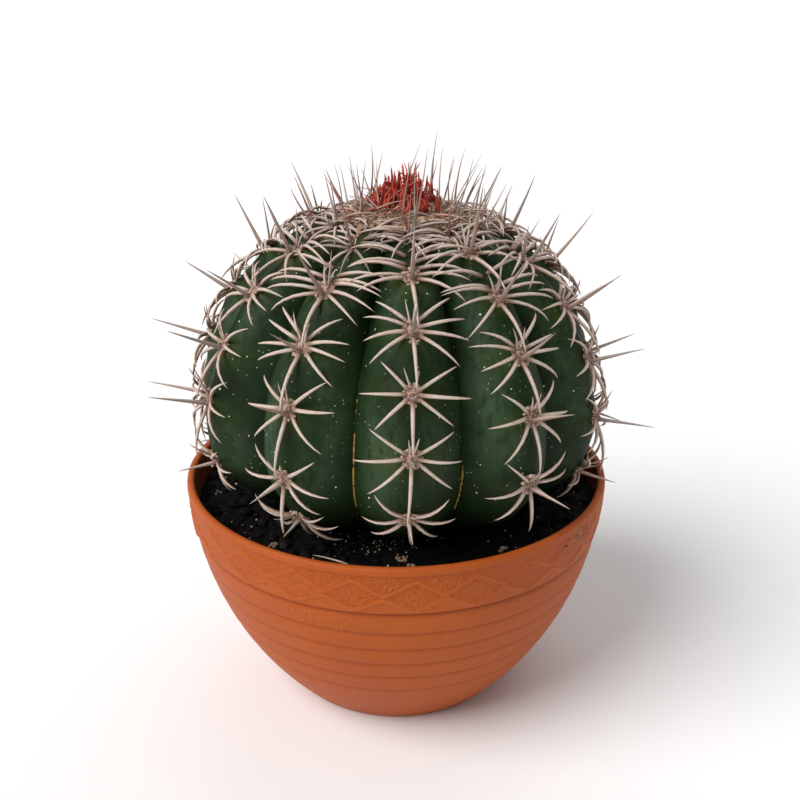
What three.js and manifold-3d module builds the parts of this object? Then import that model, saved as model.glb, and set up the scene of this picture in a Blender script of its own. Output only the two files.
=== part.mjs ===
// A round, ribbed cactus with a woolly crown, rooted in potting soil in a bowl pot.
// Millimetres, +Z up. The origin is the centre of the pot's foot, on the surface that the pot stands on.
// Azimuths are measured from the front (-Y) towards the right (+X).

import * as THREE from "three";
import { mergeVertices } from "three/addons/utils/BufferGeometryUtils.js";
import Module from "manifold-3d";

const wasm = await Module();
wasm.setup();

// ---- Driving dimensions ----

const POT = {
  height: 90,
  rimRadius: 82.5,
  footRadius: 44,
  bulge: new THREE.Vector2(80, 38), // the point that the bowl's curve leans towards
  wall: 3,
  footRingWidth: 5,
  footRecess: 2,
  floor: 3,
  drainRadius: 7,
  segments: 48,
};

const PLANT = {
  ribs: 11,
  firstRibAzimuth: THREE.MathUtils.degToRad(2.9),
  lean: THREE.MathUtils.degToRad(1.7), // the plant leans to the right, about the middle of the soil's surface
  crestRadius: 76.9, // from the axis to a rib's crest, at the widest level
  widestLevel: 117.6,
  upperHeight: 74.2, // from the widest level to the top of the full curve
  lowerHeight: 43.6, // from the widest level to the underside
  shoulder: 0.915, // power of the cosine that draws the crest in towards the top
  grooveDepth: 0.15, // as a share of the radius
  crownLatitude: THREE.MathUtils.degToRad(73), // the ribs end here, under the wool
  neckLatitude: THREE.MathUtils.degToRad(-72), // the root neck starts here
  crestRounding: 0.3, // how blunt a rib's crest is, as a share of the rib's half width
  grooveFade: 12, // the grooves run out over this height above the neck
  ringsUp: 14,
  facetsPerRib: 4,
  rootTip: 40, // height of the taproot's end
  rootShoulder: 8, // the taproot widens over this height
  rootNeck: 10, // height between the taproot's shoulder and the neck
};

const AREOLES = {
  perRib: 5,
  lowestStep: -1.5, // steps are counted up a rib from the widest part
  firstLatitude: THREE.MathUtils.degToRad(7.75),
  upperSpacing: THREE.MathUtils.degToRad(16.1),
  lowerSpacing: THREE.MathUtils.degToRad(25.4),
  stagger: 5 / 11, // each rib's areoles sit this many steps above its left neighbour's
  padRadius: 3,
  padHeight: 1.3,
  padTopShare: 0.7, // width of the pad's top, as a share of its foot
  padSides: 6,
  spineRing: 1.7, // the radial spines start this far from the pad's middle
};

// Turn is the direction across the rib, from straight down (0) to straight up (180).
const RADIAL_SPINES = [
  { turn: 0, length: 16 },
  { turn: 52, length: 18 },
  { turn: -52, length: 18 },
  { turn: 104, length: 16 },
  { turn: -104, length: 16 },
];
const SPINE = {
  sides: 3,
  baseRadius: 0.85,
  rise: 4.2, // height of the arch above the skin
  archAt: 0.45, // where the arch leans towards, as a share of the length
  tipRise: 1.6,
  centralLength: 20,
  centralTilt: THREE.MathUtils.degToRad(24),
  centralGirth: 1.15, // as a share of a radial spine's
  crowding: 1.45, // side spines shorten where the cosine of the latitude times this is under 1
  shortestShare: 0.5,
};
const CROWN = {
  woolRadius: 24,
  woolRise: 5.5,
  woolSegments: 33,
  spineRings: [
    {
      count: 11,
      radius: 21.5,
      length: 26,
      lean: THREE.MathUtils.degToRad(28),
      firstTurn: THREE.MathUtils.degToRad(2.9),
    },
    {
      count: 11,
      radius: 16.8,
      length: 27,
      lean: THREE.MathUtils.degToRad(10),
      firstTurn: THREE.MathUtils.degToRad(19.3),
    },
  ],
};
const BRISTLES = { radius: 13.5, height: 20.5, fullness: 0.9, lobes: 7, lobeDepth: 0.12 };
const SOIL = {
  level: 80,
  heaped: 0.6, // the surface rises this much from the pot's edge towards the plant
  edgeDrop: 1.5, // its rounded edge at the wall
  edgeWidth: 5,
  slopeWidth: 17,
  drainArch: 3, // it is arched over the drain hole by this much
};
const GAP = 0.35; // left between pieces that touch

// ---- Materials ----

const colours = {
  pot: 0xb4653c,
  soil: 0x17120f,
  skin: 0x2c4530,
  spine: 0xc9b3a3,
  wool: 0xb7a48e,
  bristle: 0xa32213,
};
const material = (name, roughness) =>
  new THREE.MeshStandardMaterial({ color: colours[name], roughness, metalness: 0 });
const potMaterial = material("pot", 0.75);
const soilMaterial = material("soil", 0.95);
const skinMaterial = material("skin", 0.5);
const spineMaterial = material("spine", 0.6);
const woolMaterial = material("wool", 0.95);
const bristleMaterial = material("bristle", 0.5);

// ---- Solids: only joining and cutting is done with manifold-3d ----

function toSolid(geometry) {
  const plain = geometry.index ? geometry.toNonIndexed() : geometry.clone();
  plain.deleteAttribute("normal");
  plain.deleteAttribute("uv");
  const merged = mergeVertices(plain, 1e-4);
  return new wasm.Manifold(
    new wasm.Mesh({
      numProp: 3,
      vertProperties: merged.attributes.position.array,
      triVerts: new Uint32Array(merged.index.array),
    }),
  );
}

function toGeometry(solid) {
  const { vertProperties, triVerts } = solid.getMesh();
  const geometry = new THREE.BufferGeometry();
  geometry.setAttribute("position", new THREE.BufferAttribute(vertProperties, 3));
  geometry.setIndex(new THREE.BufferAttribute(triVerts, 1));
  return geometry;
}

const union = (geometries) =>
  toGeometry(geometries.map(toSolid).reduce((joined, solid) => joined.add(solid)));

// A closed body of revolution about Z from (radius, height) points, listed from the bottom up.
const revolve = (points, segments) => new THREE.LatheGeometry(points, segments).rotateX(Math.PI / 2);

const named = (name, geometry, itsMaterial) => {
  const mesh = new THREE.Mesh(geometry, itsMaterial);
  mesh.name = name;
  return mesh;
};

// ---- Pot ----

const outerWall = new THREE.QuadraticBezierCurve(
  new THREE.Vector2(POT.footRadius, 0),
  POT.bulge,
  new THREE.Vector2(POT.rimRadius, POT.height - POT.wall / 2),
);
const floorTop = POT.footRecess + POT.floor;
const innerWall = new THREE.QuadraticBezierCurve(
  new THREE.Vector2(POT.footRadius - POT.wall / 2, floorTop),
  new THREE.Vector2(POT.bulge.x - POT.wall, POT.bulge.y + POT.wall),
  new THREE.Vector2(POT.rimRadius - POT.wall, POT.height - POT.wall / 2),
);

function potGeometry() {
  const lip = new THREE.EllipseCurve(
    POT.rimRadius - POT.wall / 2, POT.height - POT.wall / 2, POT.wall / 2, POT.wall / 2, 0, Math.PI,
  );
  const ringInside = POT.footRadius - POT.footRingWidth;
  const profile = [
    new THREE.Vector2(0, POT.footRecess),
    new THREE.Vector2(ringInside - POT.footRecess, POT.footRecess),
    new THREE.Vector2(ringInside, 0),
    ...outerWall.getPoints(7),
    ...lip.getPoints(4).slice(1, -1),
    ...innerWall.getPoints(5).reverse(),
    new THREE.Vector2(0, floorTop),
  ];
  const drain = new THREE.CylinderGeometry(POT.drainRadius, POT.drainRadius, 4 * POT.floor, 24)
    .rotateX(Math.PI / 2)
    .translate(0, 0, POT.floor);
  return toGeometry(toSolid(revolve(profile, POT.segments)).subtract(toSolid(drain)));
}

// ---- The plant's shape ----

const { cos, sin, PI } = Math;

// The rib crest's outline: radius from the axis and height, at a latitude from -90 to 90 degrees.
function crestAt(latitude) {
  const rise = latitude > 0 ? PLANT.upperHeight : PLANT.lowerHeight;
  return new THREE.Vector2(
    PLANT.crestRadius * cos(latitude) ** PLANT.shoulder,
    PLANT.widestLevel + rise * sin(latitude),
  );
}

// How far a rib's flank has fallen, from 0 on the crest to 1 in the groove: nearly flat flanks.
function flankFall(across) {
  const rounding = PLANT.crestRounding;
  return (Math.hypot(across, rounding) - rounding) / (Math.hypot(1, rounding) - rounding);
}

// Cuts the grooves into a body of revolution. The depth is a share of the radius, given by the height.
function cutGrooves(geometry, depthAt) {
  const position = geometry.attributes.position;
  const halfRib = PI / PLANT.ribs;
  for (let i = 0; i < position.count; i++) {
    const x = position.getX(i);
    const y = position.getY(i);
    const turn = Math.atan2(x, -y) - PLANT.firstRibAzimuth;
    const across = Math.abs(turn / (2 * halfRib) - Math.round(turn / (2 * halfRib))) * 2;
    const keep = 1 - depthAt(position.getZ(i)) * flankFall(across);
    position.setXY(i, x * keep, y * keep);
  }
  return geometry;
}

const neck = crestAt(PLANT.neckLatitude);

// The crest's outline between two latitudes, and the taproot's, both from the bottom up.
const crestBetween = (low, high, rings) =>
  Array.from({ length: rings + 1 }, (_, i) => crestAt(THREE.MathUtils.lerp(low, high, i / rings)));
const taproot = [
  new THREE.Vector2(0, PLANT.rootTip),
  new THREE.Vector2(neck.x / 4, PLANT.rootTip + PLANT.rootShoulder),
  new THREE.Vector2(neck.x / 2, neck.y - PLANT.rootNeck),
];

function bodyGeometry() {
  const crest = crestBetween(PLANT.neckLatitude, PLANT.crownLatitude, PLANT.ringsUp);
  const crownTop = new THREE.Vector2(0, crest.at(-1).y);
  const body = revolve([...taproot, ...crest, crownTop], PLANT.ribs * PLANT.facetsPerRib);
  return cutGrooves(
    body.rotateZ(PLANT.firstRibAzimuth),
    (z) => PLANT.grooveDepth * THREE.MathUtils.clamp((z - neck.y) / PLANT.grooveFade, 0, 1),
  );
}

// Turns what is modelled upright to the plant's lean.
const leaning = new THREE.Matrix4()
  .makeTranslation(0, 0, SOIL.level)
  .multiply(new THREE.Matrix4().makeRotationY(PLANT.lean))
  .multiply(new THREE.Matrix4().makeTranslation(0, 0, -SOIL.level));

// ---- Soil ----

// The hollow that the plant sits in: its own outline a little larger, open above the soil.
function socketGeometry() {
  const seat = [...taproot, ...crestBetween(PLANT.neckLatitude, 0, PLANT.ringsUp)];
  const wider = seat.map((p) => new THREE.Vector2(p.x === 0 ? 0 : p.x + 2 * GAP, p.y - GAP));
  wider.push(new THREE.Vector2(0, PLANT.widestLevel));
  return revolve(wider, PLANT.ribs * PLANT.facetsPerRib)
    .rotateZ(PLANT.firstRibAzimuth)
    .applyMatrix4(leaning);
}

function soilGeometry() {
  const wall = innerWall.getPoints(40).filter((p) => p.y < SOIL.level);
  const wallTop = wall.at(-1);
  const alongWall = wall.filter((p, i) => i % 5 === 0 && p.y < wallTop.y - 3);
  const profile = [
    new THREE.Vector2(0, floorTop + SOIL.drainArch),
    new THREE.Vector2(POT.drainRadius, floorTop + SOIL.drainArch),
    new THREE.Vector2(POT.drainRadius + SOIL.drainArch, floorTop + GAP),
    ...alongWall.map((p) => new THREE.Vector2(p.x - 2 * GAP, p.y + GAP)),
    new THREE.Vector2(wallTop.x - 2 * GAP, SOIL.level - SOIL.edgeDrop),
    new THREE.Vector2(wallTop.x - SOIL.edgeWidth, SOIL.level),
    new THREE.Vector2(wallTop.x - SOIL.slopeWidth, SOIL.level + SOIL.heaped),
    new THREE.Vector2(0, SOIL.level + SOIL.heaped),
  ];
  return toGeometry(toSolid(revolve(profile, POT.segments)).subtract(toSolid(socketGeometry())));
}

// ---- Spines ----

// A tapered spine from the origin. It leaves along +X, arches over and comes down at its tip.
function archedSpine(length) {
  const centreline = new THREE.QuadraticBezierCurve3(
    new THREE.Vector3(0, 0, 0),
    new THREE.Vector3(length * SPINE.archAt, 0, SPINE.rise * 2),
    new THREE.Vector3(length, 0, SPINE.tipRise),
  );
  const cone = new THREE.ConeGeometry(SPINE.baseRadius, 1, SPINE.sides, 2).translate(0, 0.5, 0);
  const position = cone.attributes.position;
  for (let i = 0; i < position.count; i++) {
    const along = Math.min(position.getY(i), 1);
    const point = centreline.getPoint(along);
    const heading = centreline.getTangent(along);
    const across = new THREE.Vector3(0, 1, 0);
    const below = new THREE.Vector3().crossVectors(across, heading);
    point.addScaledVector(across, position.getX(i)).addScaledVector(below, position.getZ(i));
    position.setXYZ(i, point.x, point.y, point.z);
  }
  return cone;
}

// A straight spine from the origin along +Z, leaning towards +X.
const straightSpine = (length, baseRadius, lean) =>
  new THREE.ConeGeometry(baseRadius, length, SPINE.sides, 1)
    .translate(0, length / 2, 0)
    .rotateX(PI / 2)
    .rotateY(lean);

// One areole: a felt pad with its radial spines and one central spine.
// +Z points out of the skin and +X down the rib. Higher on the plant the ribs stand closer, so
// spread shortens the side spines.
function clusterGeometry(spread) {
  const pad = new THREE.CylinderGeometry(
    AREOLES.padRadius * AREOLES.padTopShare,
    AREOLES.padRadius,
    2 * AREOLES.padHeight,
    AREOLES.padSides,
  ).rotateX(PI / 2);
  const radials = RADIAL_SPINES.map(({ turn, length }) => {
    const sideways = Math.abs(sin(THREE.MathUtils.degToRad(turn)));
    const reach = length * THREE.MathUtils.lerp(1, spread, sideways);
    return archedSpine(reach)
      .translate(AREOLES.spineRing, 0, 0)
      .rotateZ(THREE.MathUtils.degToRad(turn));
  });
  const girth = SPINE.baseRadius * SPINE.centralGirth;
  const central = straightSpine(SPINE.centralLength, girth, -SPINE.centralTilt);
  return union([pad, ...radials, central]);
}

// Latitude of a point that is a number of areole steps up a rib from the first one.
const latitudeOfStep = (step) =>
  AREOLES.firstLatitude + step * (step > 0 ? AREOLES.upperSpacing : AREOLES.lowerSpacing);

function clusters() {
  const made = new THREE.Group();
  for (let rib = 0; rib < PLANT.ribs; rib++) {
    const offset = (rib * AREOLES.stagger) % 1;
    const lowest = Math.ceil(AREOLES.lowestStep - offset) + offset;
    const ribGroup = new THREE.Group();
    ribGroup.rotation.z = PLANT.firstRibAzimuth + (rib * 2 * PI) / PLANT.ribs - PI / 2;
    made.add(ribGroup);
    for (let i = 0; i < AREOLES.perRib; i++) {
      const latitude = latitudeOfStep(lowest + i);
      const spread = THREE.MathUtils.clamp(cos(latitude) * SPINE.crowding, SPINE.shortestShare, 1);
      const mesh = named(`spine_cluster_${rib + 1}_${i + 1}`, clusterGeometry(spread), spineMaterial);
      placeOnCrest(mesh, latitude);
      ribGroup.add(mesh);
    }
  }
  return made;
}

// Puts a cluster on the crest in the XZ plane, its +Z along the skin's normal and its +X down the rib.
function placeOnCrest(mesh, latitude) {
  const delta = 0.01;
  const here = crestAt(latitude);
  const up = crestAt(latitude + delta).sub(crestAt(latitude - delta)).normalize();
  const lift = GAP + AREOLES.padHeight;
  mesh.position.set(here.x + up.y * lift, 0, here.y - up.x * lift);
  mesh.rotation.y = Math.atan2(up.y, -up.x);
}

// ---- Crown ----

const crownBase = crestAt(PLANT.crownLatitude).y + GAP;

// A ring of wool around the tuft, with the young spines standing in it.
function crownGeometry() {
  const { woolRadius, woolRise, woolSegments, spineRings } = CROWN;
  const innerRadius = BRISTLES.radius + 2 * GAP;
  const innerEdge = new THREE.Vector2(innerRadius, 0);
  const dome = new THREE.EllipseCurve(0, 0, woolRadius, woolRise, 0, Math.acos(innerRadius / woolRadius));
  const wool = revolve([innerEdge, ...dome.getPoints(5), innerEdge], woolSegments);
  const spines = spineRings.flatMap(({ count, radius, length, lean, firstTurn }) =>
    Array.from({ length: count }, (_, i) =>
      straightSpine(length, SPINE.baseRadius, lean)
        .translate(radius, 0, 1)
        .rotateZ(firstTurn + (i * 2 * PI) / count),
    ),
  );
  return union([wool, ...spines]).translate(0, 0, crownBase);
}

// The tuft stands on the body, inside the ring of wool.
function bristlesGeometry() {
  const { radius, height, fullness, lobes, lobeDepth } = BRISTLES;
  const tuft = new THREE.QuadraticBezierCurve(
    new THREE.Vector2(radius, 0),
    new THREE.Vector2(radius * fullness, height * fullness),
    new THREE.Vector2(0, height),
  );
  const geometry = revolve([new THREE.Vector2(0, 0), ...tuft.getPoints(7)], lobes * 4);
  const position = geometry.attributes.position;
  for (let i = 0; i < position.count; i++) {
    const turn = Math.atan2(position.getY(i), position.getX(i));
    const keep = 1 - lobeDepth * (0.5 - 0.5 * cos(lobes * turn));
    position.setXY(i, position.getX(i) * keep, position.getY(i) * keep);
  }
  return geometry.translate(0, 0, crownBase);
}

// ---- The whole object ----

const plant = new THREE.Group();
plant.add(
  named("cactus_body", bodyGeometry(), skinMaterial),
  named("crown_wool_and_spines", crownGeometry(), woolMaterial),
  named("cephalium_bristles", bristlesGeometry(), bristleMaterial),
  clusters(),
);
plant.applyMatrix4(leaning);

const cactus = new THREE.Group();
cactus.add(
  named("bowl_pot", potGeometry(), potMaterial),
  named("potting_soil", soilGeometry(), soilMaterial),
  plant,
);

export default cactus;
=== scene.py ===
"""Dresses the potted round cactus: bowl pot, soil, ribbed body, spines, woolly crown and red tuft.

Sizes are in millimetres, and profile points give the radius first and then the height. Azimuths run from
the front (-Y) towards the right (+X). Latitudes on the plant are 0 at its widest level.
"""

from __future__ import annotations

import logging
import math
import random
from collections.abc import Callable, Sequence
from dataclasses import dataclass, field
from enum import Enum

import bpy
import numpy as np
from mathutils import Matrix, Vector, noise


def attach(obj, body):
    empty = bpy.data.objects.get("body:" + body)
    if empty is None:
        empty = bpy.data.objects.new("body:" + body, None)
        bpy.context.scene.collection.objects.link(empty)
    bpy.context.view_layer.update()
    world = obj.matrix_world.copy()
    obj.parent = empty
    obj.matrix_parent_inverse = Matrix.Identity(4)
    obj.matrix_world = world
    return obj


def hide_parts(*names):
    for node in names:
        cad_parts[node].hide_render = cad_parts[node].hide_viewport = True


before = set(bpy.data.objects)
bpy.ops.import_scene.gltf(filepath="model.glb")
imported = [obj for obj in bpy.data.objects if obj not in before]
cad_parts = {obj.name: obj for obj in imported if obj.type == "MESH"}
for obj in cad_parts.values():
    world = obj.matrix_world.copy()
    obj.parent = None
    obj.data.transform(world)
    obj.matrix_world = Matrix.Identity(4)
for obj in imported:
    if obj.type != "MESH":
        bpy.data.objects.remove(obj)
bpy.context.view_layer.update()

log = logging.getLogger("cactus")

MM = 0.001
TURN = 2 * math.pi
GOLDEN_TURN = math.pi * (3 - math.sqrt(5))
RIBS = 11
RIB_STEP = TURN / RIBS
FIRST_RIB = math.radians(2.9)
LEAN = math.radians(1.7)
SOIL_LEVEL = 80.0
ROOT = "root"
UP = np.array([0.0, 0.0, 1.0])
Colour = tuple[float, float, float]
Point = tuple[float, float]
Socket = bpy.types.NodeSocket
Surface = tuple[Socket, Socket, Socket]
Inputs = dict[str | int, object]
Piece = bpy.types.Object


# ---- Small modelling helpers ----


class Slot(Enum):
    """The record's material slots."""

    POT = "terracotta_pot"
    SOIL = "potting_mix"
    SKIN = "cactus_skin"
    WOOL = "crown_wool"
    BRISTLE = "red_bristle"
    SPINE = "spine"


def start_primitive(name: str, add: Callable[..., object], **sizes: object) -> Piece:
    """Adds one primitive alone, and opens it for editing with all of it selected.

    Args:
        name: The new object's name.
        add: The operator that adds it.
        sizes: The operator's own arguments.

    Returns:
        The new object.
    """
    bpy.ops.object.select_all(action="DESELECT")
    add(**sizes)
    made = bpy.context.object
    made.name = made.data.name = name
    bpy.ops.object.mode_set(mode="EDIT")
    bpy.ops.mesh.select_all(action="SELECT")
    return made


def close_and_face_out(merge: float = 1e-7) -> None:
    """Merges points that lie together, turns every face outwards and leaves edit mode.

    Args:
        merge: How near to each other they have to be, in metres.
    """
    bpy.ops.mesh.select_all(action="SELECT")
    bpy.ops.mesh.remove_doubles(threshold=merge)
    bpy.ops.mesh.normals_make_consistent(inside=False)
    bpy.ops.object.mode_set(mode="OBJECT")


def spin_profile(name: str, points: Sequence[Point], steps: int) -> Piece:
    """Draws a profile by extruding one point along it, then spins it round the vertical axis.

    Args:
        name: The new object's name.
        points: The profile.
        steps: How many steps the full turn takes.

    Returns:
        The closed body of revolution.
    """
    made = start_primitive(name, bpy.ops.mesh.primitive_plane_add, size=MM)
    bpy.ops.mesh.merge(type="CENTER")
    here = Vector((points[0][0] * MM, 0, points[0][1] * MM))
    bpy.ops.transform.translate(value=here)
    for radius, height in points[1:]:
        there = Vector((radius * MM, 0, height * MM))
        bpy.ops.mesh.extrude_region_move(TRANSFORM_OT_translate={"value": there - here})
        here = there
    bpy.ops.mesh.select_all(action="SELECT")
    bpy.ops.mesh.spin(steps=steps, angle=TURN, center=(0, 0, 0), axis=(0, 0, 1))
    close_and_face_out()
    return made


def read_points(piece: Piece, unit: float = MM) -> np.ndarray:
    """Reads a piece's points.

    Args:
        piece: The piece.
        unit: How many metres one unit is.

    Returns:
        The points in that unit, one row each.
    """
    flat = np.empty(len(piece.data.vertices) * 3, dtype=np.float64)
    piece.data.vertices.foreach_get("co", flat)
    return flat.reshape(-1, 3) / unit


def write_points(piece: Piece, points: np.ndarray) -> None:
    """Moves the piece's points to the given places."""
    piece.data.vertices.foreach_set("co", (points * MM).ravel())
    piece.data.update()


def lean(piece: Piece) -> Piece:
    """Leans a piece of the plant to the right, about the middle of the soil's surface.

    Args:
        piece: The piece.

    Returns:
        The same piece.
    """
    points = read_points(piece)
    right, up = points[:, 0].copy(), points[:, 2] - SOIL_LEVEL
    points[:, 0] = right * math.cos(LEAN) + up * math.sin(LEAN)
    points[:, 2] = up * math.cos(LEAN) - right * math.sin(LEAN) + SOIL_LEVEL
    write_points(piece, points)
    return piece


def dress(piece: Piece, finishes: Sequence[bpy.types.Material], values: dict[str, np.ndarray]) -> None:
    """Shades a piece smoothly, and gives it its finishes and what they read.

    Args:
        piece: The piece.
        finishes: Its materials.
        values: One number for each of its points, by name.
    """
    for finish in finishes:
        piece.data.materials.append(finish)
    piece.data.polygons.foreach_set("use_smooth", [True] * len(piece.data.polygons))
    for name, numbers in values.items():
        layer = piece.data.attributes.new(name, "FLOAT", "POINT")
        layer.data.foreach_set("value", numbers.astype(np.float32))


def place_piece(piece: Piece, slot: Slot, *stands_for: str) -> Piece:
    """Puts a finished piece on the frame.

    Args:
        piece: The piece.
        slot: The record's material slot that its finish comes from. It is not used.
        stands_for: The CAD nodes that it stands for.

    Returns:
        The same piece.
    """
    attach(piece, ROOT)
    if stands_for:
        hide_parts(*stands_for)
    log.info("%s: %d faces", piece.name, len(piece.data.polygons))
    return piece


def around(azimuth: float, radius: float, level: float = 0.0) -> np.ndarray:
    """Returns the place at an azimuth, a distance from the axis and a level."""
    return np.array([radius * math.sin(azimuth), -radius * math.cos(azimuth), level])


def noise_at(points: np.ndarray, size: float, seed: float) -> np.ndarray:
    """Returns smooth noise from -1 to 1 at each point, with bumps of a size, shifted by the seed."""
    shift = Vector((seed, seed * 1.7, seed * 2.3))
    return np.array([noise.noise(Vector(p) / size + shift) for p in points])


def cell_noise_at(points: np.ndarray, size: float) -> np.ndarray:
    """Returns the distance to the nearest of many scattered grains of a size, from 0 to about 1."""
    return np.array([noise.voronoi(Vector(p) / size)[0][0] for p in points])


def azimuth_of(points: np.ndarray) -> np.ndarray:
    """Returns each point's azimuth, in radians."""
    return np.arctan2(points[:, 0], -points[:, 1])


def smooth_step(low: float, high: float, value: np.ndarray) -> np.ndarray:
    """Returns a curve that rises smoothly from 0 at low to 1 at high."""
    part = np.clip((value - low) / (high - low), 0, 1)
    return part * part * (3 - 2 * part)


def bump_at(value: np.ndarray, centre: float, width: float) -> np.ndarray:
    """Returns a rounded bump of height 1 about centre."""
    return np.exp(-(((value - centre) / width) ** 2))


@dataclass(frozen=True)
class Patch:
    """A soft patch on a round piece. Turn and width are in degrees."""

    turn: float
    width: float
    level: float
    height: float
    strength: float = 1.0

    def at(self, turn: np.ndarray, level: np.ndarray) -> np.ndarray:
        """Returns how strong the patch is at each turn and level."""
        return bump_at(turn, self.turn, self.width) * bump_at(level, self.level, self.height) * self.strength


@dataclass
class Form:
    """A small shape that is modelled once and then copied many times.

    Attributes:
        points: Its points, one row each.
        faces: Its faces, as tuples of point numbers.
    """

    points: np.ndarray
    faces: list[tuple[int, ...]]

    @classmethod
    def take(cls, piece: Piece) -> Form:
        """Reads a modelled object into a form and removes the object.

        Args:
            piece: The object.

        Returns:
            The form.
        """
        mesh = piece.data
        form = cls(read_points(piece, 1.0), [tuple(face.vertices) for face in mesh.polygons])
        bpy.data.objects.remove(piece)
        bpy.data.meshes.remove(mesh)
        return form


@dataclass
class Heap:
    """Gathers many copies of forms into one mesh.

    Attributes:
        values: Names of the numbers that are kept for each point.
    """

    values: tuple[str, ...]
    points: list[np.ndarray] = field(default_factory=list)
    faces: list[tuple[int, ...]] = field(default_factory=list)
    finishes: list[int] = field(default_factory=list)
    numbers: dict[str, list[np.ndarray]] = field(default_factory=dict)
    count: int = 0

    def add(self, form: Form, points: np.ndarray, finish: int = 0, **numbers: np.ndarray | float) -> None:
        """Adds one copy.

        Args:
            form: The form that gives the faces.
            points: Where the copy's points are.
            finish: Which of the mesh's finishes it takes.
            numbers: A value for each point, or one for all, for each name in values.
        """
        self.points.append(points)
        self.faces.extend(tuple(i + self.count for i in face) for face in form.faces)
        self.finishes.extend([finish] * len(form.faces))
        for name in self.values:
            given = np.broadcast_to(numbers.get(name, 0.0), (len(points),))
            self.numbers.setdefault(name, []).append(given)
        self.count += len(points)

    def build(self, name: str, *finishes: bpy.types.Material) -> Piece:
        """Makes the mesh.

        Args:
            name: The piece's name.
            finishes: The materials that the copies' finish numbers stand for.

        Returns:
            The new piece.
        """
        mesh = bpy.data.meshes.new(name)
        mesh.from_pydata((np.concatenate(self.points) * MM).tolist(), [], self.faces)
        piece = bpy.data.objects.new(name, mesh)
        bpy.context.scene.collection.objects.link(piece)
        dress(piece, finishes, {value: np.concatenate(parts) for value, parts in self.numbers.items()})
        mesh.polygons.foreach_set("material_index", self.finishes)
        mesh.update()
        return piece


# ---- Finishes ----


class Sum(Enum):
    """The sums that a finish works out."""

    ADD = "ADD"
    SUBTRACT = "SUBTRACT"
    MULTIPLY = "MULTIPLY"
    DIVIDE = "DIVIDE"
    MULTIPLY_ADD = "MULTIPLY_ADD"
    LESS_THAN = "LESS_THAN"
    MAXIMUM = "MAXIMUM"


class NodeBench:
    """Adds and links nodes in one material or node group."""

    def __init__(self, tree: bpy.types.NodeTree) -> None:
        """Takes the node tree to work on."""
        self.tree = tree

    def add(self, kind: str, inputs: Inputs | None = None, **settings: object) -> bpy.types.Node:
        """Adds a node.

        Args:
            kind: The node's type name.
            inputs: A value, or another node's output, for each named input.
            settings: The node's own properties.

        Returns:
            The new node.
        """
        node = self.tree.nodes.new(kind)
        for name, value in settings.items():
            setattr(node, name, value)
        for name, value in (inputs or {}).items():
            if isinstance(value, Socket):
                self.tree.links.new(value, node.inputs[name])
            else:
                node.inputs[name].default_value = value
        return node

    def work_out(self, what: Sum, *values: Socket | float) -> Socket:
        """Returns the result of one sum on two or three values."""
        return self.add("ShaderNodeMath", dict(enumerate(values)), operation=what.value).outputs[0]

    def times(self, first: Socket | float, second: Socket | float) -> Socket:
        """Returns the product of two values."""
        return self.work_out(Sum.MULTIPLY, first, second)

    def most(self, first: Socket | float, second: Socket | float) -> Socket:
        """Returns the larger of two values."""
        return self.work_out(Sum.MAXIMUM, first, second)

    def spread(self, value: Socket, share: Socket | float, base: Socket | float) -> Socket:
        """Returns a base with a share of the value added to it."""
        return self.work_out(Sum.MULTIPLY_ADD, value, share, base)

    def ramp(self, value: Socket, low: Socket | float, high: Socket | float) -> Socket:
        """Returns a mask that rises smoothly from 0 at low to 1 at high."""
        inputs = {"Value": value, "From Min": low, "From Max": high}
        return self.add("ShaderNodeMapRange", inputs, interpolation_type="SMOOTHSTEP").outputs["Result"]

    def noise(self, place: Socket, scale: Socket | float, detail: float = 4.0, rough: float = 0.55) -> Socket:
        """Returns noise from 0 to 1 with a scale in bumps for each metre."""
        inputs = {"Vector": place, "Scale": scale, "Detail": detail, "Roughness": rough}
        return self.add("ShaderNodeTexNoise", inputs).outputs["Fac"]


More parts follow.
